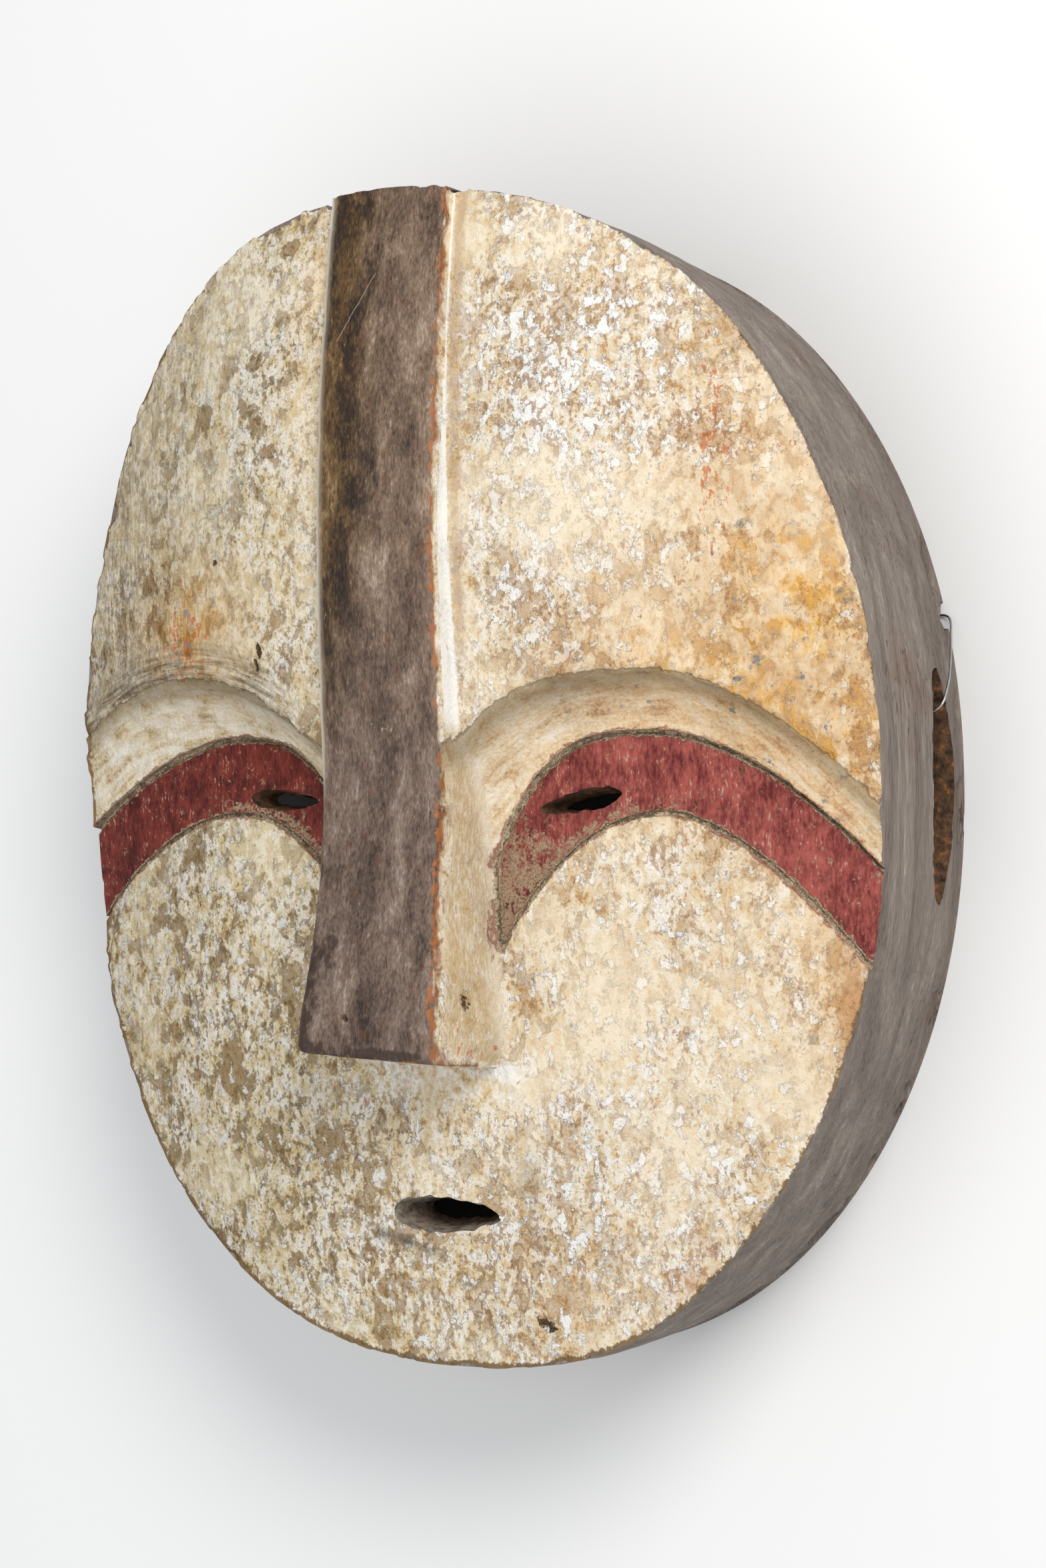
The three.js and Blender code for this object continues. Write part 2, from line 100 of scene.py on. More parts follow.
# The bar at heights from the chin to the crown: y, half its width on top and at the foot, and z.
BAR_STATIONS = np.array((
    (-86, 23.6, 24.4, 122.2), (-79, 23.2, 27.2, 121.4), (-71, 22.6, 26.6, 120.2),
    (-44, 20.7, 24.6, 114.6), (-8, 20.4, 23.3, 109.4), (32, 20.4, 23.0, 110.6),
    (72, 19.9, 21.8, 112.0), (110, 20.2, 21.2, 109.6), (141, 20.2, 20.8, 105.8),
    (178, 19.9, 20.4, 100.6),
))
# Each arch: its highest point (the distance from the nose, and y), then the span, the drop and the
# power of the curve on its inner side, and the same on its outer side.
ARCHES = {
    "brow": {"right": (82, 29.3, 60, 20, 3, 63, 40, 1.8), "left": (82, 32, 55, 24, 2.2, 53, 15.5, 2)},
    "band": {"right": (75, 12.8, 51, 38, 3, 69, 41, 1.9), "left": (71, 14.6, 47, 34, 3, 63, 25.5, 1.6)},
    "cheek": {
        "right": (80, -12.4, 53, 38.6, 2.1, 59, 45.5, 1.7),
        "left": (71, -10, 44, 30, 2.3, 60, 29.7, 1.8),
    },
}
COVE_STEP, COVE_POWER, BAND_SINK = 2.9, 0.85, 1.5
GROOVE_DEPTH, GROOVE_WIDTH, GROOVE_POWER = 0.9, 1.9, 0.8
LOW_GROOVE_SHARE, LOW_GROOVE_REACH = 0.6, 0.7
RIM_SINK, RIM_SINK_POWER = {"left": 3.6, "right": 0.6}, 4
TURN = {"left": -1.0, "right": 1.0}
ARCH_STEPS = 40


def swell_at(x, y):
    heading = np.degrees(np.arctan2(y, x))
    away = [(heading - degrees + 180) % 360 - 180 for degrees, _, _ in OVAL_SWELLS]
    return sum(by * np.exp(-(a / spread) ** 2) for a, (_, by, spread) in zip(away, OVAL_SWELLS))


def smooth_oval(degrees):
    c, s = np.cos(np.radians(degrees)), np.sin(np.radians(degrees))
    x = HALF_WIDTH * np.sign(c) * np.abs(c) ** (2 / OVAL_POWER)
    y = HALF_HEIGHT * np.sign(s) * np.abs(s) ** (2 / OVAL_POWER)
    return x, y


def oval_point(degrees):
    x, y = smooth_oval(np.asarray(degrees, float))
    stretch = 1 + swell_at(x, y) / np.hypot(x, y)
    return x * stretch + OVAL_LEAN * y * stretch / HALF_HEIGHT, y * stretch


CLIMB = np.linspace(-90, 90, 3001)
RIM_SIDE = {side: oval_point(CLIMB if side == "right" else 180 - CLIMB) for side in TURN}


def rim_x(side, y):
    xs, ys = RIM_SIDE[side]
    return np.interp(y, np.maximum.accumulate(ys), xs)


def rim_z(y):
    t = y / HALF_HEIGHT
    return RIM_Z + RIM_SLOPE * t + RIM_RISE * t * t


def dome(x, y, middle):
    right, left = rim_x("right", y), rim_x("left", y)
    across = np.clip(np.abs(2 * x - right - left) / np.maximum(right - left, 1e-6), 0, 1)
    return rim_z(y) + np.maximum(middle - rim_z(y), 0) * (1 - across ** DOME_POWER)


def forehead_z(x, y):
    return dome(x, y, FOREHEAD_TOP_Z - FOREHEAD_FALL * ((y - FOREHEAD_TOP_Y) / FOREHEAD_SPAN) ** 2)


def cheek_z(x, y):
    run = np.maximum((CHIN_START_Y - y) / (HALF_HEIGHT + CHIN_START_Y), 0)
    return dome(x, y, CHEEK_Z - CHIN_FALL * run ** CHIN_POWER)


def nose_x(y):
    return NOSE_X + NOSE_LEAN * y / HALF_HEIGHT


def smooth_through(points, steps=24):
    """A curve through the stations, as points close together."""
    last = len(points) - 1
    out = []
    for i in range(last):
        a, b, c, d = points[max(i - 1, 0)], points[i], points[i + 1], points[min(i + 2, last)]
        t = np.linspace(0, 1, steps, endpoint=False)[:, None]
        v, w = (c - a) / 2, (d - b) / 2
        out.append((2 * b - 2 * c + v + w) * t ** 3 + (3 * c - 3 * b - 2 * v - w) * t ** 2 + v * t + b)
    return np.vstack(out + [points[-1:]])


BAR_CURVE = smooth_through(BAR_STATIONS.astype(float))


def bar_at(key, y):
    column = {"top": 1, "foot": 2, "z": 3}[key]
    return np.interp(y, BAR_CURVE[:, 0], BAR_CURVE[:, column])


def arch_y(name, side, distance):
    x, y, in_span, in_drop, in_power, out_span, out_drop, out_power = ARCHES[name][side]
    inward = distance < x
    ratio = np.abs(distance - x) / np.where(inward, in_span, out_span)
    return y - np.where(inward, in_drop, out_drop) * ratio ** np.where(inward, in_power, out_power)


def side_x(side, share, y):
    """The x of a point that is a share of the way from the nose's foot to the rim."""
    foot = bar_at("foot", y)
    rim = np.maximum(TURN[side] * (rim_x(side, y) - nose_x(y)), foot)
    return nose_x(y) + TURN[side] * (foot + (rim - foot) * share)


def arch_line(name, side, share):
    """The y of an arch at each share. It is found by steps, because the share's x depends on y."""
    y = np.full_like(share, ARCHES[name][side][1])
    for _ in range(ARCH_STEPS):
        y = (y + arch_y(name, side, np.abs(side_x(side, share, y) - nose_x(y)))) / 2
    return y


def lerp(a, b, t):
    return a + (b - a) * t


# The carved face
# The front of the block, as a sheet whose lines follow the carving: its columns run along the nose
# bar's edges, and its rows along the brows, the grooves and the bands.

SIDE_COLUMNS = {"left": 92, "right": 104}
FLANK_COLUMNS = {"left": 9, "right": 14}
BAR_COLUMNS = 30
FOREHEAD_ROWS, COVE_ROWS, GROOVE_ROWS, BAND_ROWS = 104, 14, 4, 15
CHEEK_ROWS, END_ROWS, CHIN_ROWS = 34, 10, 64
UPPER_SHOULDER, LOWER_SHOULDER = 44.0, -46.0


def arc_between(start, end, count):
    """Points along the oval's rim between two angles in degrees, evenly spaced."""
    fine = np.linspace(start, end, 2000)
    x, y = oval_point(fine)
    run = np.concatenate([[0], np.cumsum(np.hypot(np.diff(x), np.diff(y)))])
    at = np.interp(np.linspace(0, run[-1], count), run, fine)
    return np.stack(oval_point(at), -1)


def rim_angle(side, x, y):
    """The angle at which the rim passes nearest to a point."""
    around = np.linspace(-90, 90, 20001)
    degrees = around if side == "right" else 180 - around
    px, py = oval_point(degrees)
    return degrees[np.argmin((px - x) ** 2 + (py - y) ** 2)]


def patch(near, far, inner, outer):
    """A sheet between four edges. Rows run from near to far and columns from inner to outer."""
    rows, columns = len(inner), len(near)
    t = np.linspace(0, 1, rows)[:, None, None]
    s = np.linspace(0, 1, columns)[None, :, None]
    across = lerp(inner[:, None], outer[:, None], s)
    along = lerp(near[None], far[None], t)
    corners = lerp(lerp(near[0], near[-1], s), lerp(far[0], far[-1], s), t)
    return across + along - corners


def steps_down(count):
    """Even steps to 1, as a column."""
    return (np.arange(1, count + 1) / count)[:, None]


def half_face(side):
    """All rows of one side from the crown to the chin, from the nose's foot out to the rim."""
    turn = TURN[side]
    share = np.linspace(0, 1, SIDE_COLUMNS[side] + 1)
    line = {name: arch_line(name, side, share) for name in ARCHES}

    def along(y):
        return np.stack([side_x(side, share, y), y], -1)

    def mirrored(degrees):
        return degrees if side == "right" else 180 - degrees

    def foot_line(y):
        return np.stack([nose_x(y) + turn * bar_at("foot", y), y], -1)

    blocks = []
    brow = along(line["brow"])
    crown_angle = rim_angle(side, nose_x(HALF_HEIGHT) + turn * bar_at("foot", HALF_HEIGHT), HALF_HEIGHT)
    crown = arc_between(crown_angle, mirrored(UPPER_SHOULDER), len(share))
    inner = foot_line(np.linspace(crown[0, 1], brow[0, 1], FOREHEAD_ROWS + 1))
    inner[0] = crown[0]
    outer = arc_between(mirrored(UPPER_SHOULDER), rim_angle(side, *brow[-1]), FOREHEAD_ROWS + 1)
    outer[-1] = brow[-1]
    sheet = patch(crown, brow, inner, outer)
    blocks.append((sheet, forehead_z(sheet[..., 0], sheet[..., 1]), "forehead"))

    sink = RIM_SINK[side] * share ** RIM_SINK_POWER
    down = steps_down(COVE_ROWS)
    sheet = np.stack([along(y) for y in lerp(line["brow"], line["band"], down)])
    floor = cheek_z(sheet[..., 0], sheet[..., 1]) - sink / 2
    edge = np.maximum(forehead_z(sheet[..., 0], sheet[..., 1]), floor + COVE_STEP)
    blocks.append((sheet, lerp(edge, floor, np.sin(np.pi / 2 * down ** COVE_POWER)), "cove"))

    def sunk(ys, depth, name):
        sheet = np.stack([along(y) for y in ys])
        z = cheek_z(sheet[..., 0], sheet[..., 1]) - BAND_SINK - sink - depth
        blocks.append((sheet, z, name))

    part = steps_down(GROOVE_ROWS)
    groove = GROOVE_DEPTH * np.sin(np.pi * part) ** GROOVE_POWER
    sunk(line["band"] - GROOVE_WIDTH * part, groove, "groove")
    low = line["cheek"] + GROOVE_WIDTH * LOW_GROOVE_REACH
    sunk(lerp(line["band"] - GROOVE_WIDTH, low, steps_down(BAND_ROWS)), 0, "band")
    sunk(lerp(low, line["cheek"], part)[:-1], groove[:-1] * LOW_GROOVE_SHARE, "groove")

    top = along(line["cheek"])
    end_y = NOSE_END_Y - turn * NOSE_END_TILT / 2
    chin_angle = rim_angle(side, nose_x(-HALF_HEIGHT) + turn * bar_at("foot", -HALF_HEIGHT), -HALF_HEIGHT)
    chin = arc_between(chin_angle, mirrored(LOWER_SHOULDER), len(share))
    steps = [np.linspace(top[0, 1], end_y, CHEEK_ROWS + 1)]
    steps.append(np.linspace(end_y, end_y - NOSE_FOOT_SET, END_ROWS + 1)[1:])
    steps.append(np.linspace(end_y - NOSE_FOOT_SET, chin[0, 1], CHIN_ROWS + 1)[1:])
    inner = foot_line(np.concatenate(steps))
    inner[-1] = chin[0]
    outer = arc_between(rim_angle(side, *top[-1]), mirrored(LOWER_SHOULDER), len(inner))
    outer[0] = top[-1]
    sheet = patch(top, chin, inner, outer)
    fade = np.clip(1 - np.arange(len(inner)) / CHEEK_ROWS, 0, 1)[:, None] ** 2
    z = cheek_z(sheet[..., 0], sheet[..., 1]) - sink * fade
    blocks.append((sheet, z, "cheek"))

    place = np.concatenate([np.dstack([sheet, z]) for sheet, z, _ in blocks])
    names = [name for sheet, _, name in blocks for _ in range(len(sheet))]
    return place, names


halves = {side: half_face(side) for side in TURN}
row_names = halves["right"][1]
row_count = len(row_names)
last_bar_row = row_count - 1 - CHIN_ROWS - END_ROWS
feet = {side: halves[side][0][:, 0] for side in TURN}

across = np.linspace(0, 1, BAR_COLUMNS + 1)[None, :]
bar_y = lerp(feet["left"][:, 1:2], feet["right"][:, 1:2], across)
bar_x = nose_x(bar_y) + bar_at("top", bar_y) * (2 * across - 1)
for end, row in ((1, 0), (-1, row_count - 1)):
    sweep = np.linspace(0, 180, 4001) * end
    rim = np.stack(oval_point(sweep), -1)
    order = np.argsort(rim[:, 0])
    bar_y[row] = np.interp(bar_x[row], rim[order, 0], rim[order, 1])
on_chin = cheek_z(bar_x, bar_y)
on_bar = bar_at("z", bar_y) - NOSE_CROWN * (2 * across - 1) ** 2
past_end = np.clip((np.arange(row_count) - last_bar_row) / END_ROWS, 0, 1)[:, None]
bar = np.dstack([bar_x, bar_y, lerp(on_bar, on_chin, past_end)])

columns = [halves["left"][0][:, ::-1]]
for side, edge in (("left", bar[:, 0]), ("right", bar[:, -1])):
    part = (np.arange(1, FLANK_COLUMNS[side]) / FLANK_COLUMNS[side])[None, :, None]
    start, stop = (feet[side], edge) if side == "left" else (edge, feet[side])
    flank = lerp(start[:, None], stop[:, None], part)
    columns += [flank, bar] if side == "left" else [flank]
columns.append(halves["right"][0])
face_grid = np.concatenate(columns, axis=1)
column_count = face_grid.shape[1]

SURFACES = ("earth_painted_face", "weathered_wall", "adzed_hollow", "knife_cut_wood")
PAINTED, WALL, HOLLOW, CUT = range(len(SURFACES))
materials = {name: bpy.data.materials.new(name) for name in SURFACES}

bpy.ops.object.select_all(action="DESELECT")
bpy.ops.mesh.primitive_grid_add(x_subdivisions=column_count - 1, y_subdivisions=row_count - 1, size=1)
mask = bpy.context.object
mask.name = "carved_mask"
mask.data.vertices.foreach_set("co", (face_grid * MM).ravel())


def positions(piece):
    place = np.empty(len(piece.data.vertices) * 3)
    piece.data.vertices.foreach_get("co", place)
    return place.reshape(-1, 3) / MM


def set_positions(piece, place):
    piece.data.vertices.foreach_set("co", (place * MM).ravel())
    piece.data.update()


def give_surfaces(piece, surface):
    """All the wood's surfaces, with every face of the piece set to one of them."""
    for material in materials.values():
        piece.data.materials.append(material)
    piece.data.polygons.foreach_set("material_index", np.full(len(piece.data.polygons), surface, "i"))


def select_vertices(piece, chosen):
    """Goes to edit mode with the chosen vertices selected."""
    piece.data.polygons.foreach_set("select", np.zeros(len(piece.data.polygons), bool))
    piece.data.edges.foreach_set("select", np.zeros(len(piece.data.edges), bool))
    piece.data.vertices.foreach_set("select", chosen)
    bpy.ops.object.mode_set(mode="EDIT")
    bpy.ops.mesh.select_mode(type="VERT")


give_surfaces(mask, PAINTED)

# Years of handling have rounded the edges. The foot of the nose bar is filled with thick paint.
grid_row, grid_column = np.divmod(np.arange(row_count * column_count), column_count)
first_bar = SIDE_COLUMNS["left"] + FLANK_COLUMNS["left"]
last_bar = first_bar + BAR_COLUMNS
last_foot = last_bar + FLANK_COLUMNS["right"]
brow_row = FOREHEAD_ROWS + 0.5
on_side = (grid_column < SIDE_COLUMNS["left"] - 2) | (grid_column > last_foot + 2)
above_end = grid_row <= last_bar_row + 1


def near_column(*columns, reach):
    return np.any([np.abs(grid_column - c) <= reach for c in columns], axis=0)


def near_row(row, reach):
    return np.abs(grid_row - row) <= reach


# Each worn edge: its points, and how many times they are smoothed.
SMOOTHING = 0.5
WEAR = (
    (near_column(first_bar, last_bar, reach=1) & above_end, 2),
    (near_row(brow_row, 1.5) & on_side, 1),
    (near_column(SIDE_COLUMNS["left"], last_foot, reach=4) & above_end, 8),
    (near_row(last_bar_row, 1) & (grid_column >= first_bar) & (grid_column <= last_bar), 2),
    (near_row(last_bar_row + END_ROWS, 3) & (grid_column > SIDE_COLUMNS["left"] - 4)
     & (grid_column < last_foot + 5), 6),
)
for chosen, times in WEAR:
    select_vertices(mask, chosen)
    bpy.ops.mesh.vertices_smooth(factor=SMOOTHING, repeat=times)
    bpy.ops.object.mode_set(mode="OBJECT")


# The side wall and the flat back rim
# The wall is left as the knife and adze made it. It leans in to the back, with a crease where two
# cuts meet, and ends in a flat rim that stands on the floor.

WALL_ROWS = 21
RIM_ROWS = 3
WALL_THICKNESS = 11.0
ROW_CROWDING = 0.12
RIM_BEVEL, RIM_FLAT = 1.2, 6.0


def back_outline(x, y, inset=0.0):
    """The back rim's outline at a point of the smooth oval, or a line inside it."""
    turn = np.arctan2(y / HALF_HEIGHT, x / HALF_WIDTH)
    shrink = 1 - BACK_SHOULDER_FALL * np.sin(2 * turn) ** 2 / np.hypot(x, y)
    out_x = BACK_CENTRE[0] + (BACK_HALF_WIDTH - inset) * shrink * x / HALF_WIDTH
    return out_x, BACK_CENTRE[1] + (BACK_HALF_HEIGHT - inset) * shrink * y / HALF_HEIGHT


def wall_point(rim, down):
    """A point of the side wall below a point of the front rim, 0 at the rim and 1 at the back."""
    x, y, z = rim.T
    less = 1 - swell_at(x, y) / np.hypot(x, y)
    back_x, back_y = back_outline(x * less, y * less)
    bulge = CREASE_BULGE * min(down / CREASE_DOWN, (1 - down) / (1 - CREASE_DOWN))
    out = np.stack([lerp(x, back_x, down), lerp(y, back_y, down)], -1)
    out += bulge * out / np.linalg.norm(out, axis=1)[:, None]
    return np.column_stack([out, z * (1 - down)])


DROP = 0.5


def pull(rings, drop):
    """Extrudes what is selected, ring by ring. Each ring is put in its place afterwards."""
    for _ in range(rings):
        bpy.ops.mesh.extrude_region_move(TRANSFORM_OT_translate={"value": (0, 0, drop * MM)})


painted_faces = len(mask.data.polygons)
bpy.ops.object.mode_set(mode="EDIT")
bpy.ops.mesh.select_mode(type="EDGE")
bpy.ops.mesh.select_all(action="DESELECT")
bpy.ops.mesh.select_non_manifold()
pull(WALL_ROWS + RIM_ROWS, -DROP)
bpy.ops.object.mode_set(mode="OBJECT")

place = positions(mask)
on_face = row_count * column_count
ring_size = (len(place) - on_face) // (WALL_ROWS + RIM_ROWS)
for k in range(WALL_ROWS + RIM_ROWS):
    ring = slice(on_face + k * ring_size, on_face + (k + 1) * ring_size)
    rim = place[ring] + (0, 0, DROP * (k + 1))
    u = min((k + 1) / WALL_ROWS, 1.0)
    row = wall_point(rim, u - ROW_CROWDING * math.sin(2 * math.pi * u))
    if k >= WALL_ROWS:
        less = 1 - swell_at(*rim.T[:2]) / np.hypot(*rim.T[:2])
        inset = RIM_BEVEL + RIM_FLAT * (k - WALL_ROWS) / RIM_ROWS
        row[:, 0], row[:, 1] = back_outline(rim[:, 0] * less, rim[:, 1] * less, inset)
    place[ring] = row
set_positions(mask, place)
surface = np.where(np.arange(len(mask.data.polygons)) < painted_faces, PAINTED, WALL).astype("i")
mask.data.polygons.foreach_set("material_index", surface)

# The hollow
# The back is dug out to a deep bowl that follows the face from behind, and keeps the wood 11 to
# 14 mm thick.

HOLLOW_AROUND = 240
HOLLOW_RINGS = 30
FACE_THICKNESS, FOREHEAD_THICKNESS = 12.0, 14.0
HOLLOW_POWER, HOLLOW_ROUNDING, RING_CROWDING = 8, 1 / 3, 0.45
HOLLOW_BLEND = (16.0, 62.0)


def hollow_z(x, y):
    t = np.clip((y - HOLLOW_BLEND[0]) / (HOLLOW_BLEND[1] - HOLLOW_BLEND[0]), 0, 1)
    low, high = cheek_z(x, y) - FACE_THICKNESS, forehead_z(x, y) - FOREHEAD_THICKNESS
    return lerp(low, high, t * t * (3 - 2 * t))


bpy.ops.object.select_all(action="DESELECT")
bpy.ops.mesh.primitive_circle_add(vertices=HOLLOW_AROUND, radius=0.1)
bowl = bpy.context.object
bpy.ops.object.mode_set(mode="EDIT")
bpy.ops.mesh.select_all(action="SELECT")
pull(HOLLOW_RINGS, DROP)
bpy.ops.mesh.merge(type="CENTER")
bpy.ops.object.mode_set(mode="OBJECT")

place = positions(bowl)
for k in range(HOLLOW_RINGS):
    ring = slice(k * HOLLOW_AROUND, (k + 1) * HOLLOW_AROUND)
    degrees = np.degrees(np.arctan2(place[ring, 1], place[ring, 0]))
    inner_x, inner_y = back_outline(*smooth_oval(degrees), WALL_THICKNESS)
    share = math.cos(math.pi / 2 * k / HOLLOW_RINGS) ** RING_CROWDING
    x, y = lerp(BACK_CENTRE[0], inner_x, share), lerp(BACK_CENTRE[1], inner_y, share)
    z = hollow_z(x, y) * (1 - share ** HOLLOW_POWER) ** HOLLOW_ROUNDING
    place[ring] = np.column_stack([x, y, z])
place[-1] = (*BACK_CENTRE, float(hollow_z(*BACK_CENTRE)))
set_positions(bowl, place)
give_surfaces(bowl, HOLLOW)


def take_up(piece):
    """Selects one piece alone and makes it the active one."""
    bpy.ops.object.select_all(action="DESELECT")
    piece.select_set(True)
    bpy.context.view_layer.objects.active = piece


take_up(mask)
bowl.select_set(True)
bpy.ops.object.join()
bpy.ops.object.mode_set(mode="EDIT")
bpy.ops.mesh.select_mode(type="EDGE")
bpy.ops.mesh.select_all(action="DESELECT")
bpy.ops.mesh.select_non_manifold()
bpy.ops.mesh.bridge_edge_loops()
bpy.ops.mesh.select_all(action="SELECT")
bpy.ops.mesh.normals_make_consistent(inside=False)
bpy.ops.object.mode_set(mode="OBJECT")

# The cuts through the wood
# The eyes and the mouth are slits cut through from the front, and a long D-shaped slot goes
# through each side wall. A nick in the back rim on each side leads the wire round.

SLIT_STEPS = 56
CUT_DEPTH = 60.0
CUT_RINGS = 10
# Each slit: x, y, half its length and width, its tilt in radians, and how blunt its ends are.
EYES = {"right": (48.5, -7.9, 14.0, 3.4, 0.17, 0.5), "left": (-57.2, -5.2, 13.5, 3.2, -0.08, -0.3)}
MOUTH = (1.0, -131.6, 18.8, 5.3, -0.03, -0.4)
MOUTH_RAKE = 0.08
EYE_RAGGED, MOUTH_RAGGED, SLOT_RAGGED = 0.8, 0.9, 0.9
END_POWER, FACE_TAPER = 0.5, 0.75
SLOT_Y, SLOT_Z, SLOT_HALF_LENGTH, SLOT_HALF_WIDTH, SLOT_FRONT_POWER = -3.5, 17.3, 35.2, 8.5, 0.4
SPINDLE_POWER = 0.75
NICK_Y, NICK_HALF_WIDTH, NICK_DEPTH, NICK_LENGTH = 49.0, 4.0, 2.6, 44.0
ROUGHNESS, FINER = 0.8, 2.1


def noise_field(points, size, seed, octaves=3, stretch=(1, 1, 1)):
    """Soft random hills about as wide as size, mostly between -1 and 1."""
    shift = Vector((seed * 17.3, seed * 5.1, seed * 9.7))
    scaled = np.asarray(points) / (np.array(stretch) * size)
    return np.array([noise.fractal(Vector(p) + shift, ROUGHNESS, FINER, octaves) for p in scaled])


def slit(half_length, half_width, blunt, front_power, ragged, seed, matrix, left_power, taper):
    """A cutting body with the section of a long pointed slit, uneven as the knife left it."""
    bpy.ops.object.select_all(action="DESELECT")
    bpy.ops.mesh.primitive_circle_add(vertices=SLIT_STEPS, radius=0.01, fill_type="NGON")
    cutter = bpy.context.object
    bpy.ops.object.mode_set(mode="EDIT")
    bpy.ops.mesh.select_all(action="SELECT")
    pull(CUT_RINGS, DROP)
    bpy.ops.mesh.select_all(action="SELECT")
    bpy.ops.mesh.normals_make_consistent(inside=False)
    bpy.ops.object.mode_set(mode="OBJECT")
    place = positions(cutter)
    around = np.arctan2(place[:, 1], place[:, 0])
    along, up = np.cos(around), np.sin(around)
    level = place[:, 2] / (DROP * CUT_RINGS) - 0.5
    place[:, 0] = half_length * np.clip(along + blunt * up ** 2 / 2, -1, 1)
    power = np.where(up > 0, front_power, SPINDLE_POWER)
    power = np.where(along < 0, np.minimum(power, left_power), power)
    place[:, 1] = np.sign(up) * half_width * (up ** 2) ** power
    place[:, 2] = level * CUT_DEPTH
    place[:, :2] *= 1 - (1 - taper) * np.clip(-place[:, 2:] / FACE_THICKNESS, 0, 1)
    place[:, :2] += ragged * np.column_stack([
        0.5 * noise_field(place, 5.0, seed, 2), noise_field(place, 3.2, seed + 1, 3, (1, 1, 2.5)),
    ])
    set_positions(cutter, place)
    give_surfaces(cutter, CUT)
    cutter.data.transform(matrix)
    return cutter


def face_slit(x, y, half_length, half_width, tilt, blunt, rake, ragged, seed):
    """A slit square to the face, or raked, that narrows to the back."""
    z = float(cheek_z(x, y))
    turned = Matrix.Rotation(rake, 4, "X") @ Matrix.Rotation(tilt, 4, "Z")
    matrix = Matrix.Translation(Vector((x, y, z)) * MM) @ turned
    shape = (half_length, half_width, blunt, SPINDLE_POWER)
    return slit(*shape, ragged, seed, matrix, END_POWER, FACE_TAPER)


cutters = [
    face_slit(*EYES["right"], 0, EYE_RAGGED, 11), face_slit(*EYES["left"], 0, EYE_RAGGED, 21),
    face_slit(*MOUTH, MOUTH_RAKE, MOUTH_RAGGED, 33),
]
for turn in (1, -1):
    sideways = Matrix.Rotation(math.pi / 2, 4, "Y") @ Matrix.Rotation(math.pi / 2, 4, "Z")
    place = Vector((turn * BACK_HALF_WIDTH, SLOT_Y, SLOT_Z)) * MM
    matrix = Matrix.Translation(place) @ sideways
    shape = (SLOT_HALF_LENGTH, SLOT_HALF_WIDTH, 0, SLOT_FRONT_POWER)
    cutters.append(slit(*shape, SLOT_RAGGED, 40 + turn, matrix, SPINDLE_POWER, 1.0))
    bpy.ops.object.select_all(action="DESELECT")
    bpy.ops.mesh.primitive_cylinder_add(
        vertices=24, radius=MM, depth=NICK_LENGTH * MM, rotation=(0, math.pi / 2, 0),
        location=(turn * (BACK_HALF_WIDTH - WALL_THICKNESS / 2) * MM, NICK_Y * MM, 0),
    )
    bpy.ops.object.transform_apply(location=False, rotation=True, scale=False)
    bpy.context.object.scale = (1, NICK_HALF_WIDTH, NICK_DEPTH)
    bpy.ops.object.transform_apply(location=True, rotation=False, scale=True)
    give_surfaces(bpy.context.object, CUT)
    cutters.append(bpy.context.object)

for cutter in cutters:
    take_up(mask)
    cut = mask.modifiers.new("cut", "BOOLEAN")
    cut.operation = "DIFFERENCE"
    cut.solver = "EXACT"
    cut.object = cutter
    bpy.ops.object.modifier_apply(modifier=cut.name)
    bpy.data.objects.remove(cutter)

# The surface of the wood and the crust
# The face carries many thin coats of earth paint, which have cracked off in flakes. The wall keeps
# the flats of the adze, the hollow its scallops, and the rim and the back edge have lost chips.

# How deep each kind of relief goes.
FLAKE_DEPTH, LUMP_DEPTH, STREAK_DEPTH = 0.5, 0.34, 0.3
BAR_GRAIN_DEPTH, BAR_WEAR_DEPTH, BAND_GRAIN_DEPTH = 0.16, 0.25, 0.14
RIM_CHIP_DEPTH, CROWN_CHIP_DEPTH, CHIN_NOTCH_DEPTH, FLANK_CHIP_DEPTH = 0.9, 1.6, 2.4, 0.9
BROW_BREAK_DEPTH, BROW_LIP_HEIGHT, LEDGE_STROKE_DEPTH, COVE_STROKE_DEPTH = 1.3, 0.5, 1.3, 0.3
ADZE_FLAT_DEPTH, WALL_GRAIN_DEPTH, BACK_BITE_DEPTH, CRACK_DEPTH = 0.7, 0.22, 1.7, 1.1
SCALLOP_DEPTH = 1.4
SCALLOP_SIZE = (15.0, 22.0, 15.0)
SHARP_DEGREES = 50

mesh = mask.data
place = positions(mask)
count = len(place)
normals = np.empty(count * 3, "f")
mesh.vertex_normals.foreach_get("vector", normals)
normals = normals.reshape(-1, 3)
surface = np.empty(len(mesh.polygons), "i")
mesh.polygons.foreach_get("material_index", surface)
touches = np.zeros((count, len(SURFACES)), bool)
loop_vertex = np.empty(len(mesh.loops), "i")
mesh.loops.foreach_get("vertex_index", loop_vertex)
loop_total = np.empty(len(mesh.polygons), "i")
mesh.polygons.foreach_get("loop_total", loop_total)
touches[loop_vertex, np.repeat(surface, loop_total)] = True
x, y, z = place.T
painted, walled, hollowed = touches[:, PAINTED], touches[:, WALL], touches[:, HOLLOW]

to_right = x > nose_x(y)
from_nose = np.abs(x - nose_x(y))


def line_gap(name):
    """How far each point is above one of the carved arches, square to the arch."""
    def both(distance):
        return np.where(to_right, arch_y(name, "right", distance), arch_y(name, "left", distance))
    slope = both(from_nose + 0.5) - both(from_nose - 0.5)
    return (y - both(from_nose)) / np.sqrt(1 + slope ** 2)


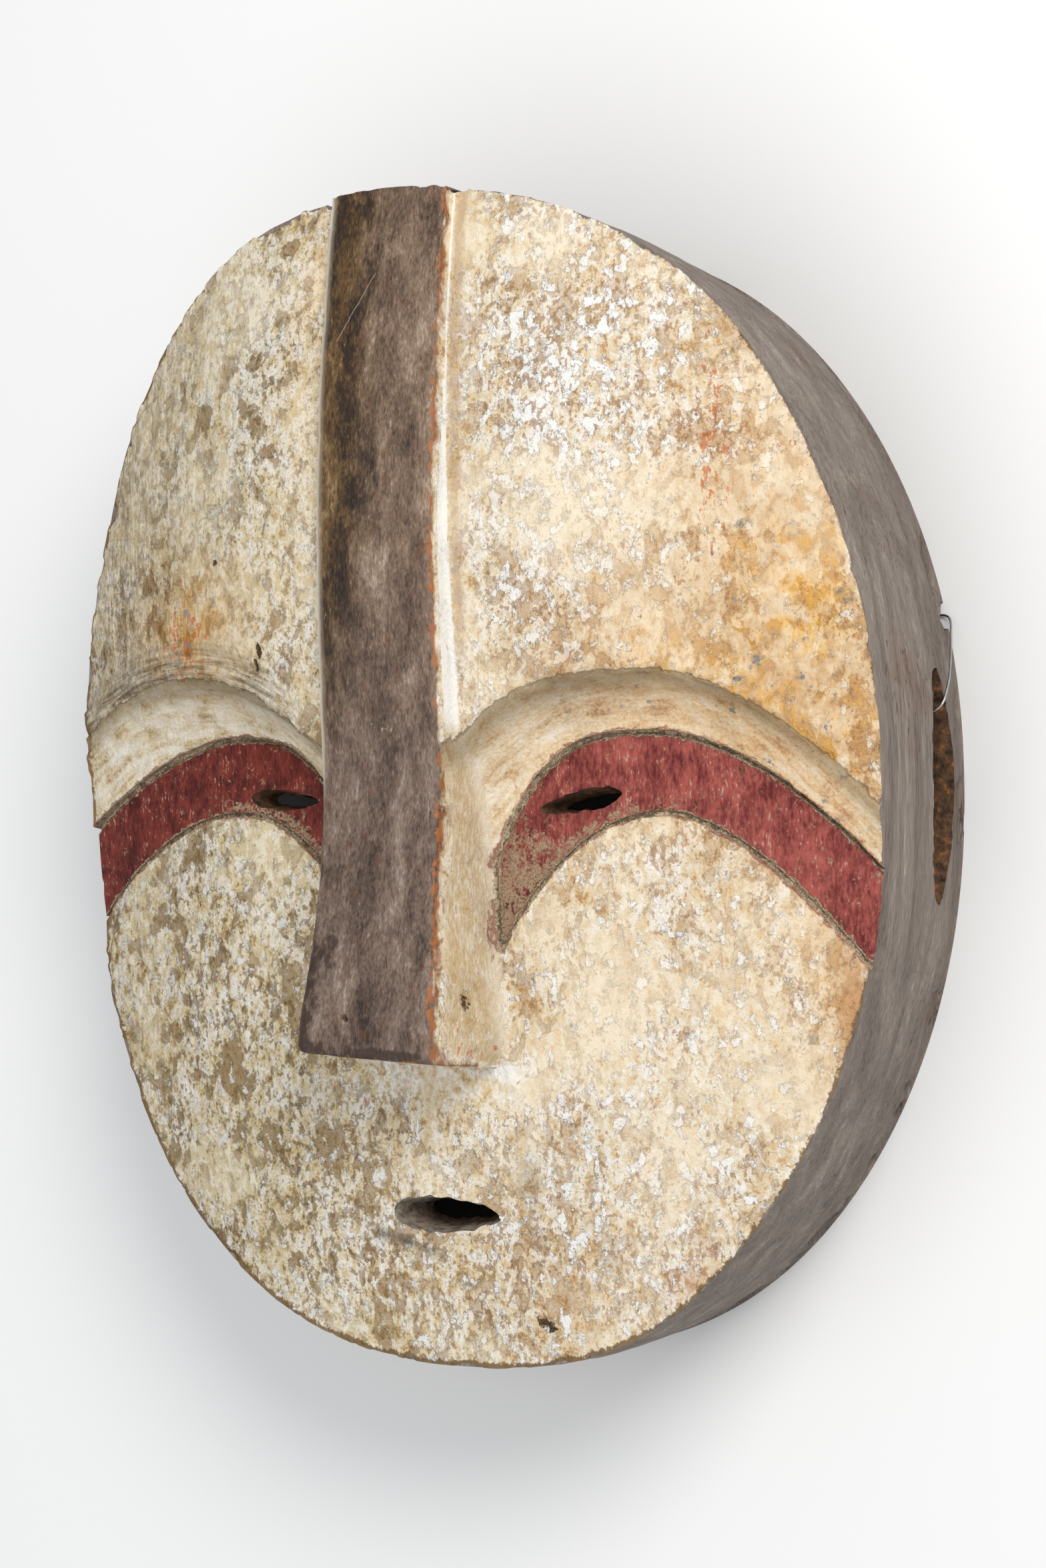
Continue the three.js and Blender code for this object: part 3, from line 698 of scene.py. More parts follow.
above_brow = line_gap("brow")
in_band = np.minimum(-line_gap("band"), line_gap("cheek"))
in_band = np.minimum(in_band, from_nose - bar_at("foot", y) - 0.5)
nose_end = NOSE_END_Y - NOSE_END_TILT / 2 * np.clip((x - nose_x(y)) / bar_at("foot", y), -1, 1)
bar_in = np.minimum(bar_at("top", y) - from_nose, y - nose_end + 0.4)
heading = np.degrees(np.arctan2(y, x))
rim_fine = np.stack(oval_point(np.linspace(-180, 180, 3600)), -1)
rim_heading = np.degrees(np.arctan2(rim_fine[:, 1], rim_fine[:, 0]))
order = np.argsort(rim_heading)
rim_reach = np.interp(heading, rim_heading[order], np.hypot(*rim_fine[order].T))
rim_gap = rim_reach - np.hypot(x, y)


def ramp(value, low, high):
    """0 below low and 1 above high, with a smooth rise between."""
    t = np.clip((value - low) / (high - low), 0, 1)
    return t * t * (3 - 2 * t)


def ridge(value, top, width):
    """1 where the value is at the top, falling off softly on both sides."""
    return np.exp(-((value - top) / width) ** 2)


def spot(px, py, rx, ry):
    """A soft spot on the face, 1 at its middle."""
    return np.exp(-((x - px) / rx) ** 2 - ((y - py) / ry) ** 2)


def spots(*rows):
    """The sum of soft spots. Each row is a strength, x, y and how wide and tall the spot is."""
    return sum(strength * spot(*where) for strength, *where in rows)


def strongest(rows):
    """The strongest of some soft spots at each point."""
    return np.maximum.reduce([np.zeros(count)] + [strength * spot(*where) for strength, *where in rows])


on_bar = painted & (bar_in > -1.0)
on_flank = painted & (bar_in <= -1.0) & (from_nose < bar_at("foot", y) + 1) & (y > NOSE_END_Y - 2)
on_band = painted & (in_band > 0) & ~on_bar & ~on_flank
on_crust = painted & ~on_bar & (in_band < 1)

worn = noise_field(place, 11.0, 1, 4, (1, 1.5, 1)) + 0.35 * noise_field(place, 34.0, 2, 2)
flake = ramp(worn, 0.05, 0.32)
streak = noise_field(place, 3.4, 3, 2, (1, 5, 1))
lump = noise_field(place, 6.5, 4, 3, (1, 1.3, 1))
grain = noise_field(place, 2.6, 5, 2, (1, 14, 1))
left_side = ramp(-x, -10, 90)
relief = np.zeros(count)
relief += on_crust * (
    FLAKE_DEPTH * flake + LUMP_DEPTH * (1 - lump) / 2 + STREAK_DEPTH * left_side * (1 + streak) / 2
)
relief += on_bar * (BAR_GRAIN_DEPTH * (1 + grain) / 2 + BAR_WEAR_DEPTH * ramp(worn, 0.25, 0.5))
relief += on_band * (BAND_GRAIN_DEPTH * (1 + grain) / 2)

chip = noise_field(place, 9.0, 6, 3)
chipped = ramp(chip, 0.15, 0.5) * ramp(4.0 - rim_gap, 0, 4.0)
top_left_chips = spot(-46, 172, 16, 8) * ramp(noise_field(place, 5.0, 7, 2), -0.2, 0.3)
relief += painted * (RIM_CHIP_DEPTH * chipped + CROWN_CHIP_DEPTH * top_left_chips)
relief += painted * CHIN_NOTCH_DEPTH * spot(-16.5, -175, 1.1, 4.0)
beside = painted & ~on_bar & ~on_flank
brow_break = ramp(noise_field(place, 3.6, 8, 3), -0.2, 0.4) * ridge(above_brow, 0.7, 1.5)
relief += beside * (BROW_BREAK_DEPTH * brow_break - BROW_LIP_HEIGHT * ridge(above_brow, 1.6, 1.4))

# Brush strokes and cracks run along the arches above the left brow, and more weakly in the coves.
along_brow = np.column_stack([above_brow, 0.11 * from_nose, 0.4 * to_right])
strokes = noise_field(along_brow, 2.3, 14, 3)
ledge = beside * ramp(-x, 25, 60) * ridge(above_brow, 4, 7)
relief += LEDGE_STROKE_DEPTH * ledge * np.clip(strokes, -0.6, 0.6)
relief += beside * COVE_STROKE_DEPTH * strokes * ramp(-above_brow, 0, 2) * ramp(line_gap("band"), 0, 2)

# Each pit: its depth, x, y and how wide and tall it is.
PITS = (
    (2.2, -53.9, 39.6, 0.9, 2.0), (1.8, -54.8, 35.4, 0.7, 2.8), (1.6, -72.4, 67.3, 1.0, 0.8),
    (0.7, 99.0, 0.0, 2.0, 1.7), (1.0, 31.0, -163.0, 2.6, 2.0), (2.4, -10.4, -71.7, 0.9, 0.9),
    (0.9, 33.6, -164.6, 3.2, 1.4),
)
pit = strongest(PITS)
relief += painted * pit
oval_chip = on_flank * np.exp(-((y + 67.0) / 4.6) ** 2 - ((z - 100.1) / 3.2) ** 2)
relief += FLANK_CHIP_DEPTH * oval_chip

facet = np.abs(noise_field(place, 24.0, 9, 1, (1, 1.6, 0.8)))
wall_grain = noise_field(place, 4.0, 10, 2, (1, 9, 0.6))
relief += walled * ~painted * (ADZE_FLAT_DEPTH * facet + WALL_GRAIN_DEPTH * (1 + wall_grain))
back_edge = walled & (z < 9)
bites = ramp(noise_field(place, 13.0, 12, 3), 0.0, 0.5) * ramp(9 - z, 0, 8)
relief += back_edge * BACK_BITE_DEPTH * bites
crack_y = np.clip((y - 42.0) / 22.3, 0, 1)
crack = ridge(z, lerp(0.6, 9.0, crack_y), 0.9) * (x > 0) * (y > 41) * (y < 66)
relief += walled * CRACK_DEPTH * crack
relief[walled & (z < 0.01)] = 0

scallop = np.array([noise.voronoi(Vector(p / SCALLOP_SIZE))[0][0] for p in place])
relief -= (hollowed & ~walled) * SCALLOP_DEPTH * np.clip(scallop, 0, 1) ** 2

# What the paints follow is kept with the mesh, so that colour and carving agree.
low_strip = on_band * ramp(line_gap("cheek"), 1.2, 2.4) * ramp(7.0 - line_gap("cheek"), 0, 4.0)
low_strip *= ramp(112 - from_nose, 0, 60)
foot_gap = from_nose - bar_at("foot", y)
cove = painted & (above_brow < 0.3) & (line_gap("band") > -0.5) & ~on_bar & ~on_flank
brushed = np.maximum(cove, 0.8 * on_flank)
brushed = np.maximum(brushed, 0.6 * to_right * ramp(36 - from_nose, 0, 14) * ramp(y, 20, 40))
brushed = np.maximum(brushed, 0.9 * spot(2, -92, 34, 5))


def line_mark(start, end, width):
    """A soft line between two points of the face, 1 along its middle."""
    start, run = np.array(start), np.subtract(end, start)
    offset = np.column_stack([x, y]) - start
    t = np.clip(offset @ run / (run @ run), 0, 1)
    return np.exp(-(np.linalg.norm(offset - t[:, None] * run, axis=1) / width) ** 2)


# Under the nose's end, a white spot and a pale line are partly white paint and partly painted light that
# lifts the nose's cast shadow.
white_and_lift_under_nose = painted & (y < nose_end - 0.5)
white_and_lift_under_nose = white_and_lift_under_nose * (0.75 * spot(24, -88, 7, 4.5) + 0.4 * line_mark((-26, -86), (22, -90), 1.6))
BROWN_ISLANDS = (
    (-67.6, 125.8, 4), (-59.8, 114.7, 5), (-78.7, 110.2, 4), (-62, 84, 4), (-15, -152, 3), (-6, -156, 3.2),
    (-25, -154, 3.4), (-20, -161, 4), (34, -165, 4), (-88, -52, 7), (-52, -62, 8), (-76, -88, 7),
    (-40, -118, 5), (-62, -112, 6),
)
KEPT = {
    # Places on the carving, in millimetres.
    "bar_in": bar_in,
    "from_nose": from_nose,
    "in_band": in_band,
    "above_brow": above_brow,
    "rim_gap": rim_gap - 0.9 * ramp(-x - y, 60, 160) + 0.9 * ramp(x + y, 40, 120),

    # How whole, worn, white or stained the crust is, and where painted shade greys the left.
    "calm": spots((0.4, 70, -60, 50, 50), (0.3, -60, 110, 60, 60), (0.7, 90, 60, 60, 50),
                  (-1.2, 50, 120, 40, 40), (-1, -60, -90, 50, 60), (-1, 10, -150, 60, 24)),
    "worn": worn,
    "white": spots((1, 52, 110, 34, 62), (0.6, 48, 50, 26, 30), (0.5, 60, -90, 40, 60)),
    "left_shade": ramp(-x, 30, 125) * (0.55 + 0.45 * ramp(y, 0, 40)),
    "yellow": spots((1, 118, 45, 34, 62), (0.8, 92, 8, 46, 26), (0.95, -84, 48, 24, 20),
                    (0.5, 60, 38, 22, 20), (0.7, 128, -62, 14, 40), (0.35, -30, 150, 14, 60)),
    "orange": spots((1, 97, 92, 5, 34), (0.85, -84, 44, 14, 14), (0.4, 124, 92, 8, 22),
                    (0.8, 17, -74, 3, 10), (0.8, 22, -82, 3, 3)),
    "bare": spots((0.9, 130, -72, 6, 24), (0.8, -141, 2, 2, 12), (0.6, 84, -150, 12, 8),
                  (0.4, 130, -20, 6, 14)),
    "brown_islands": strongest((1, px, py, size, size * 1.3) for px, py, size in BROWN_ISLANDS),
    "pit": pit + 0.75 * oval_chip,
    "smear": line_mark((-24.9, -137.4), (-13.9, -139.8), 1.7) + 0.5 * spot(30, -120, 4, 8)
    + 0.8 * line_mark((-13.9, -139.8), (-2.5, -143.8), 1.4),

    # Where the paint was brushed on thickly, under the brows and beside the bar. Some marks beside and
    # under the nose are painted light and shade.
    "brushed": brushed,
    "cove": cove * ramp(-above_brow, 0.2, 1.2),
    "ledge": ledge * (above_brow > -0.5),
    # White paint on the right flank, and under the nose's end partly painted light.
    "whitewash_and_lift": (on_flank & (bar_in < -0.9)) * ramp(y, 2, 26) * to_right + white_and_lift_under_nose,
    # A pale line along the foot of the right flank, from the nose's end up past the eyes: a painted
    # highlight.
    "foot_line": to_right * ridge(foot_gap, 0.4, 0.9) * ramp(20 - y, 0, 12) * ramp(y, -86, -80),
    # A tan stripe just outside the flank's white stripe, along the forehead beside the bar: a painted
    # shadow.
    "foot_shadow_stripe": ridge(foot_gap, 3.2, 2.6) * ramp(y, 20, 50) * to_right,
    "low_flank": on_flank * to_right * ramp(16 - y, 0, 14),

    # Dirt in the bands, and marks on the bar.
    "corner": spots((1, 25, -38, 11, 24), (1, 24, -56, 7, 16), (1, -31, -17, 5, 14), (1, 38, -26, 14, 7)),
    "strip": low_strip,
    "bar_marks": 0.7 * line_mark((-14.8, 12.7), (-6.9, 14.8), 0.8)
    + 0.7 * line_mark((-6.9, 14.8), (0.9, 13.2), 0.8) + 0.5 * line_mark((-5, 91), (3, 90), 0.7),
    "bar_dark": spots((1, -29, -66, 8, 22), (0.5, -18, -52, 5, 9), (0.9, -8, -86, 30, 6))
    + 0.45 * to_right * ridge(bar_in, 2.6, 1.0) * ramp(30 - y, 0, 30),
    "left_edge": (x < nose_x(y)) * ramp(1.6 - bar_in, 0, 0.8) * ramp(y, -12, 4),
}
for name, values in KEPT.items():
    mesh.attributes.new(name, "FLOAT", "POINT").data.foreach_set("value", values.astype("f"))

place -= normals * relief[:, None]
low, high = np.array(cad_box[0]) / MM, np.array(cad_box[1]) / MM
place[:, :2] += SHIFT
place = np.clip(place, low, high)
set_positions(mask, place)

select_vertices(mask, np.ones(len(place), bool))
bpy.ops.mesh.normals_make_consistent(inside=False)
bpy.ops.object.mode_set(mode="OBJECT")
take_up(mask)
bpy.ops.object.shade_smooth_by_angle(angle=math.radians(SHARP_DEGREES))

# The paints and the bare wood
# Thin coats of earth paint are brushed over bare wood, which shows on the wall, in the hollow and in
# the cuts. Colours are hex values as the eye sees them, and pattern sizes are real millimetres.


def linear(code):
    """An sRGB hex colour as linear red, green, blue and alpha."""
    parts = [int(code[i:i + 2], 16) / 255 for i in (0, 2, 4)]
    return [p / 12.92 if p <= 0.04045 else ((p + 0.055) / 1.055) ** 2.4 for p in parts] + [1.0]


def per_mm(size):
    """The texture scale that makes one cell of a pattern as wide as size."""
    return 1 / (size * MM)


def add(tree, kind, values=None, out=0, stops=(), **settings):
    """Adds a node with its settings, its values or links, and the stops of a colour ramp."""
    made = tree.nodes.new("ShaderNode" + kind)
    for name, value in settings.items():
        setattr(made, name, value)
    for key, value in (values or {}).items():
        if isinstance(value, bpy.types.NodeSocket):
            tree.links.new(value, made.inputs[key])
        else:
            made.inputs[key].default_value = value
    for i, (place, code) in enumerate(stops):
        stop = made.color_ramp.elements[i] if i < 2 else made.color_ramp.elements.new(place)
        stop.position, stop.color = place, linear(code)
    return made.outputs[out]


def fresh(material):
    """Clears a material and gives its tree and its output."""
    material.use_nodes = True
    tree = material.node_tree
    tree.nodes.clear()
    return tree, tree.nodes.new("ShaderNodeOutputMaterial")


def finish(tree, out, values):
    """Adds the surface's shader and joins it to the output."""
    tree.links.new(add(tree, "BsdfPrincipled", values), out.inputs["Surface"])


# Kaolin and ochre crust over light wood. It is dead matt, thick and white where it is whole, and
# thin and tan where flakes have gone. Red ochre fills the bands, and soot and resin the nose bar.
tree, out = fresh(materials["earth_painted_face"])
here = add(tree, "TexCoord", out=3)
x_place, y_place = (add(tree, "SeparateXYZ", {0: here}, axis) for axis in (0, 1))
drawn, fibres, short_fibres, long_flats = (
    add(tree, "Mapping", {"Vector": here, "Scale": (1, along, 1)}) for along in (0.7, 0.07, 0.3, 0.35)
)
upper_coat, last_coat = (
    add(tree, "Mapping", {"Vector": drawn, "Location": shift})
    for shift in ((0.31, 0.17, 0.23), (0.07, 0.41, 0.13))
)

# Each pattern: where it runs, how wide its spots are in millimetres, detail, roughness, distortion.
PATTERNS = {
    "cloud": (here, 22, 3, 0.5, 0), "broad": (here, 36, 2, 0.5, 0), "flakes": (drawn, 5.5, 8, 0.6, 0.4),
    "upper": (upper_coat, 3.2, 8, 0.64, 0.3), "grime": (drawn, 1.7, 5, 0.65, 0),
    "chalk_flakes": (last_coat, 4.2, 7, 0.6, 0), "specks": (here, 1.0, 4, 0.7, 0),
    "rubbed": (fibres, 1.3, 5, 0.62, 0), "fine_grain": (short_fibres, 1.0, 5, 0.7, 0),
    "scratches": (short_fibres, 0.6, 3, 0.5, 0), "sand": (here, 0.6, 3, 0.7, 0),
    "soot": (here, 5, 5, 0.6, 0), "smoke": (long_flats, 9, 8, 0.68, 0.4),
    "bar_fibres": (short_fibres, 0.55, 4, 0.7, 0),
}
SIDE_BLEND = 60.0
BAR_GREYS_X, BAR_GREYS_Y = (-22.0, 2.0), (70.0, 0.0)
CUT_START, CUT_TURN = (-20.9, 131.6, 0), 1.0075
CUT_HALF_LENGTH, CUT_HALF_WIDTH, CUT_WAVER = 11.9, 0.18, 0.4

# What the paints follow: what is kept with the mesh, the patterns, and the shares worked out below.
at = {name: add(tree, "Attribute", out=2, attribute_name=name) for name in KEPT}
for name, (run, size, detail, roughness, bend) in PATTERNS.items():
    at[name] = add(tree, "TexNoise", {
        "Vector": run, "Scale": per_mm(size), "Detail": detail, "Roughness": roughness, "Distortion": bend,
    })
tone = {}


def summed(pattern, **weights):
    """A pattern with others added to it, each by its weight."""
    total = at[pattern]
    for other, weight in weights.items():
        total = add(tree, "Math", {0: at[other], 1: weight, 2: total}, operation="MULTIPLY_ADD")
    return total


def spread(pattern, low, high, least=0.0, most=1.0, step="SMOOTHSTEP", **weights):
    """Where a pattern, with others added to it by their weights, passes from low to high."""
    total = summed(pattern, **weights)
    return add(tree, "MapRange", {0: total, 1: low, 2: high, 3: least, 4: most}, interpolation_type=step)


def together(first, *others):
    """Where several shares of the face hold at once."""
    share = at[first]
    for other in others:
        share = add(tree, "Math", {0: share, 1: at.get(other, other)}, operation="MULTIPLY")
    return share


def laid_over(ground, *coats, blend="MIX"):
    """Lays coats over a ground in turn. Each is a colour and the shares that say where it lies."""
    below = tone[ground]
    for colour, *shares in coats:
        above = tone[colour] if colour in tone else linear(colour)
        over = {0: together(*shares), 6: below, 7: above}
        below = add(tree, "Mix", over, 2, data_type="RGBA", blend_type=blend)
    return below


# Coats of kaolin lie over tan and brown ones: olive on the left, pinkish on the right.
at["right"] = add(tree, "MapRange", {0: x_place, 1: -SIDE_BLEND * MM, 2: SIDE_BLEND * MM})
at["coats"] = spread("upper", 0.60, 1.22, step="LINEAR", cloud=0.3, specks=0.5, white=0.04, worn=-0.03)
at["calmed"] = spread("broad", 0.42, 0.66, most=0.75, step="LINEAR", calm=0.15)
at["coats"] = add(tree, "Mix", {0: at["calmed"], 2: at["coats"], 3: 0.50})

# Where the coats have flaked off, the brown ground shows in islands with a crisp edge. Small thick
# flakes of the last white coat stand highest.
CLAMPED_SUM = {"operation": "MULTIPLY_ADD", "use_clamp": True}
flaking = add(tree, "Math", {0: at["brushed"], 1: -0.9, 2: 1.0}, **CLAMPED_SUM)
at["flaking"] = add(tree, "Math", {0: at["calmed"], 1: -0.8, 2: flaking}, **CLAMPED_SUM)
at["flaked"] = summed("flakes", worn=0.08, brown_islands=0.11, specks=0.25)
# The thin brown lines along the flakes' edges are partly painted shade at the steps of the crust and partly
# dirt.
edges = [
    add(tree, "Math", {0: at[name], 1: height, 2: reach}, operation="COMPARE")
    for name, height, reach in (("flaked", 0.68, 0.009), ("coats", 0.66, 0.013), ("coats", 0.475, 0.010))
]
edge = add(tree, "Math", {0: edges[2], 1: 0.8, 2: edges[1]}, **CLAMPED_SUM)
at["edge"] = add(tree, "Math", {0: edge, 1: 0.6, 2: edges[0]}, **CLAMPED_SUM)
at["lost"] = spread("flaked", 0.69, 0.715)
at["lost_by_side"] = add(tree, "MapRange", {0: at["right"], 3: 0.85, 4: 0.45})
at["lost"] = together("lost", "lost_by_side", "flaking")
at["grimy"] = spread("grime", 0.72, 0.75, most=0.7, cloud=0.3, calm=-0.025)
at["chalky"] = spread("chalk_flakes", 0.665, 0.69, most=0.9, white=0.05, specks=0.15)
at["chalky"] = together("chalky", "flaking")

# Under the brows and on the bar's flanks the paint was brushed on thickly, and has kept its streaks.
along_arch = add(tree, "CombineXYZ", {"X": at["above_brow"], "Y": at["from_nose"]})
along_arch = add(tree, "Mapping", {"Vector": along_arch, "Scale": (0.35, 0.07, 1)})
across_ledge = add(tree, "Mapping", {"Vector": along_arch, "Scale": (2.2, 1, 1)})
for name, run, detail, roughness in (("brush", along_arch, 6, 0.62), ("ledge_tone", across_ledge, 5, 0.65)):
    streaks = {"Vector": run, "Scale": 1.0, "Detail": detail, "Roughness": roughness}
    at[name] = add(tree, "TexNoise", streaks)
at["brush"] = spread("brush", 0.90, 1.35, step="LINEAR", specks=0.6, flakes=0.7)
at["ledge_tone"] = spread("ledge_tone", 0.40, 0.62, step="LINEAR")
at["washed_and_lifted"] = spread("whitewash_and_lift", 1.05, 1.5, most=0.9, step="LINEAR", upper=1.6)
at["flank_grain"] = spread("fine_grain", 0.42, 0.60, 0.85, 0.1, "LINEAR")
# A painted shadow beside the flank's white stripe.
at["foot_shadow"] = spread("foot_shadow_stripe", 2.1, 2.8, most=0.6, upper=3.5)

# The left is painted greyer in streaks, stronger towards its edge and higher up, as painted shade where the
# face turns away. Yellow stains lie mostly on the right, with spots of rust and soot.
at["grey_streak"] = spread("fine_grain", 0.66, 0.92, 0.2, 1.0, "LINEAR", rubbed=0.6)
at["uncoved"] = add(tree, "MapRange", {0: at["cove"], 3: 1.0, 4: 0.45})
stain = spread("flakes", 0.36, 0.60, 0.25, 1.0, "LINEAR")
at["stain"] = add(tree, "Math", {0: at["yellow"], 1: stain}, operation="MULTIPLY", use_clamp=True)
at["golden"] = spread("upper", 0.68, 0.92, step="LINEAR", cloud=0.6)
left = add(tree, "Math", {0: 1.0, 1: at["right"]}, operation="SUBTRACT")
at["golden"] = add(tree, "Math", {0: at["golden"], 1: left}, operation="MAXIMUM")
at["rust"] = spread("upper", 0.92, 0.99, most=0.8, fine_grain=0.5, orange=0.20)
at["soot"] = spread("soot", 0.60, 0.70)

# Bare orange wood shows along worn stretches of the rim, and a dark brown line runs at the rim itself,
# wider at the lower left and thinner at the upper right.
# Painted shade darkens the cove under the broken edge of the brow, and the pits are painted dark, partly as
# shade and partly as dirt.
at["bared"] = spread("bare", 1.45, 1.95, most=0.8, upper=2.4)
at["rim_darkening"] = spread("rim_gap", 5.7, 4.9, most=0.9, upper=6.0, specks=3.0)
at["brow"] = summed("above_brow", upper=4.0)
# Painted shade under the brow's edge, fading out downwards into the cove and ending a little above the
# edge.
at["brow_shadow"] = spread("brow", -6.0, 1.0)
at["brow_shadow_top"] = spread("brow", 3.2, 1.6)
at["brow_line"] = add(tree, "Math", {0: at["brow"], 1: 2.3, 2: 0.35}, operation="COMPARE")
# The pits are painted dark, partly as shade in the hollows and partly as dirt.
at["pit_shaded"] = spread("pit", 1.6, 1.85, upper=1.0, specks=1.4)
at["grit"] = spread("sand", 0.35, 0.65, step="LINEAR")

# Red ochre bands, rubbed along the grain, with pale scratches and a dirty groove on each side.
at["red_tone"] = spread("fine_grain", 0.98, 1.34, step="LINEAR", flakes=0.8, cloud=0.5)
at["scratched"] = spread("scratches", 1.05, 1.14, most=0.7, flakes=0.8)
at["band_dirt"] = add(tree, "Math", {0: at["corner"], 1: at["strip"]}, operation="MAXIMUM")
at["dirty_red"] = spread("upper", 0.95, 1.10, most=0.85, specks=0.7, band_dirt=0.20)
at["band"] = summed("in_band", upper=5.0)
at["red_here"] = spread("band", 3.9, 4.5)
at["lip_here"] = spread("band", 1.6, 2.2, most=0.8)
at["lip_patches"] = spread("flakes", 0.44, 0.52)
at["in_groove"] = spread("band", 2.3, 2.7)
at["groove_line"] = add(tree, "Math", {0: at["band"], 1: 3.5, 2: 0.3}, operation="COMPARE")

# The nose bar is blackened and handled smooth. It is greyer to the right and below, and its right edge is
# worn to orange wood. One long thin cut crosses it near the crown.
at["across_bar"] = add(tree, "MapRange", {0: x_place, 1: BAR_GREYS_X[0] * MM, 2: BAR_GREYS_X[1] * MM})
at["down_bar"] = add(tree, "MapRange", {0: y_place, 1: BAR_GREYS_Y[0] * MM, 2: BAR_GREYS_Y[1] * MM})
at["bar_greyer"] = add(tree, "Math", {0: at["down_bar"], 1: 0.8, 2: at["across_bar"]}, **CLAMPED_SUM)
at["bar_grain"] = spread("smoke", 0.82, 1.28, step="LINEAR", fine_grain=0.5, bar_fibres=0.6)
at["patchy"] = spread("bar_greyer", 0.85, 1.45, step="LINEAR", smoke=1.2)
at["bar_rust"] = spread("upper", 0.95, 1.05, most=0.5, flakes=0.7)
at["blackened"] = spread("bar_dark", 1.25, 1.6, most=0.85, upper=1.8)
long_cut = {"Vector": here, "Location": [v * MM for v in CUT_START], "Rotation": (0, 0, CUT_TURN)}
long_cut = add(tree, "Mapping", long_cut, vector_type="TEXTURE")
at["along_cut"], at["off_cut"] = (add(tree, "SeparateXYZ", {0: long_cut}, axis) for axis in (0, 1))
at["off_cut"] = summed("off_cut", specks=2 * CUT_WAVER * MM)
for name, middle, reach in (
    ("along_cut", CUT_HALF_LENGTH, CUT_HALF_LENGTH), ("off_cut", CUT_WAVER, CUT_HALF_WIDTH),
):
    at[name] = add(tree, "Math", {0: at[name], 1: middle * MM, 2: reach * MM}, operation="COMPARE")
fleck = spread("bar_fibres", 1.05, 1.14, most=0.7, fine_grain=0.7, bar_marks=0.3)
long_cut = together("along_cut", "off_cut")
at["fleck"] = add(tree, "Math", {0: long_cut, 1: 0.5, 2: fleck}, **CLAMPED_SUM)
at["worn_edge"] = spread("bar_in", -6.6, -7.2, most=0.9, upper=-9.0, specks=-5.0)
at["on_bar"] = spread("bar_in", 0.5, 1.1, flakes=2.4)

# Each colour: the pattern that it follows, and its hex values at the pattern's low and high end.
COLOURS = {
    "under": ("upper", "6B5230", "BE9F70"), "under_right": ("upper", "A8784C", "E3C39A"),
    "edge_brown": ("right", "73592F", "A87C50"), "chalk": ("right", "EFECE4", "FFFEFA"),
    "ledge_colour": ("ledge_tone", "7E6844", "EDE4D0"), "stain_colour": ("golden", "DCC2A6", "EFC26A"),
    "bare_wood": ("fine_grain", "9C6234", "EABB88"), "rim_brown": ("flakes", "4A3824", "96733F"),
    "red": ("right", "450E0C", "5E1E1F"), "light_red": ("right", "843529", "A8564C"),
    "dirty": ("grit", "75604A", "B8A283"), "crumbs": ("grit", "7C6448", "D2C0A2"),
    "pit_shade_and_dirt": ("grit", "35241A", "6E5238"), "rusty": ("upper", "4E3220", "CE7E40"),
}
RAMPS = {
    "crust": ("coats", ((0.0, "8E7346"), (1.0, "FFFDF8"), (0.30, "BCA273"), (0.33, "D8C498"),
                        (0.47, "E2D2AE"), (0.49, "EEE2C8"), (0.62, "F2E8D3"), (0.64, "FDF9F0"))),
    "crust_right": ("coats", ((0.0, "B4855A"), (1.0, "FFFFFC"), (0.26, "D4AB7B"), (0.29, "E4C69B"),
                              (0.42, "EAD2AB"), (0.44, "F0DFC1"), (0.60, "F4E8D0"), (0.62, "FFFAEF"))),
    "brushed": ("brush", ((0.0, "A88A5C"), (1.0, "FAF4E8"), (0.3, "D8C39C"), (0.6, "ECDFC6"))),
    "brushed_right": ("brush", ((0.0, "B07E52"), (1.0, "F6ECDC"), (0.3, "D8B488"), (0.6, "E8D2AE"))),
    "bar": ("bar_grain", ((0.0, "140C06"), (1.0, "8F7650"), (0.35, "33210F"), (0.6, "5A421F"),
                          (0.8, "6E5430"))),
    "bar_grey": ("bar_grain", ((0.0, "33241A"), (1.0, "B09C88"), (0.35, "644F3F"), (0.6, "806956"),
                               (0.8, "917C69"))),
}
for name, (pattern, low, high) in COLOURS.items():
    tone[name] = add(tree, "Mix", {0: at[pattern], 6: linear(low), 7: linear(high)}, 2, data_type="RGBA")
for name, (pattern, stops) in RAMPS.items():
    tone[name] = add(tree, "ValToRGB", {0: at[pattern]}, stops=stops)

for name in ("crust", "under", "brushed"):
    tone[name] = laid_over(name, (name + "_right", "right"))
tone["crust"] = laid_over(
    # The edge lines are partly painted shade and partly dirt.
    "crust", ("under", "lost"), ("edge_brown", "edge", "flaking", 0.8),
    ("edge_brown", "grimy", "flaking"), ("chalk", "chalky"), ("brushed", "cove", 0.9),
    # The chalk under the nose's end is partly painted light over the nose's cast shadow.
    ("ledge_colour", "ledge", 0.8), ("chalk", "washed_and_lifted"), ("C9AE84", "flank_grain", "low_flank"),
    # F5EBD8 along the flank's foot is a painted highlight, and B8946A beside the white stripe is a painted
    # shadow.
    ("F5EBD8", "foot_line", 0.6), ("B8946A", "foot_shadow"),
)
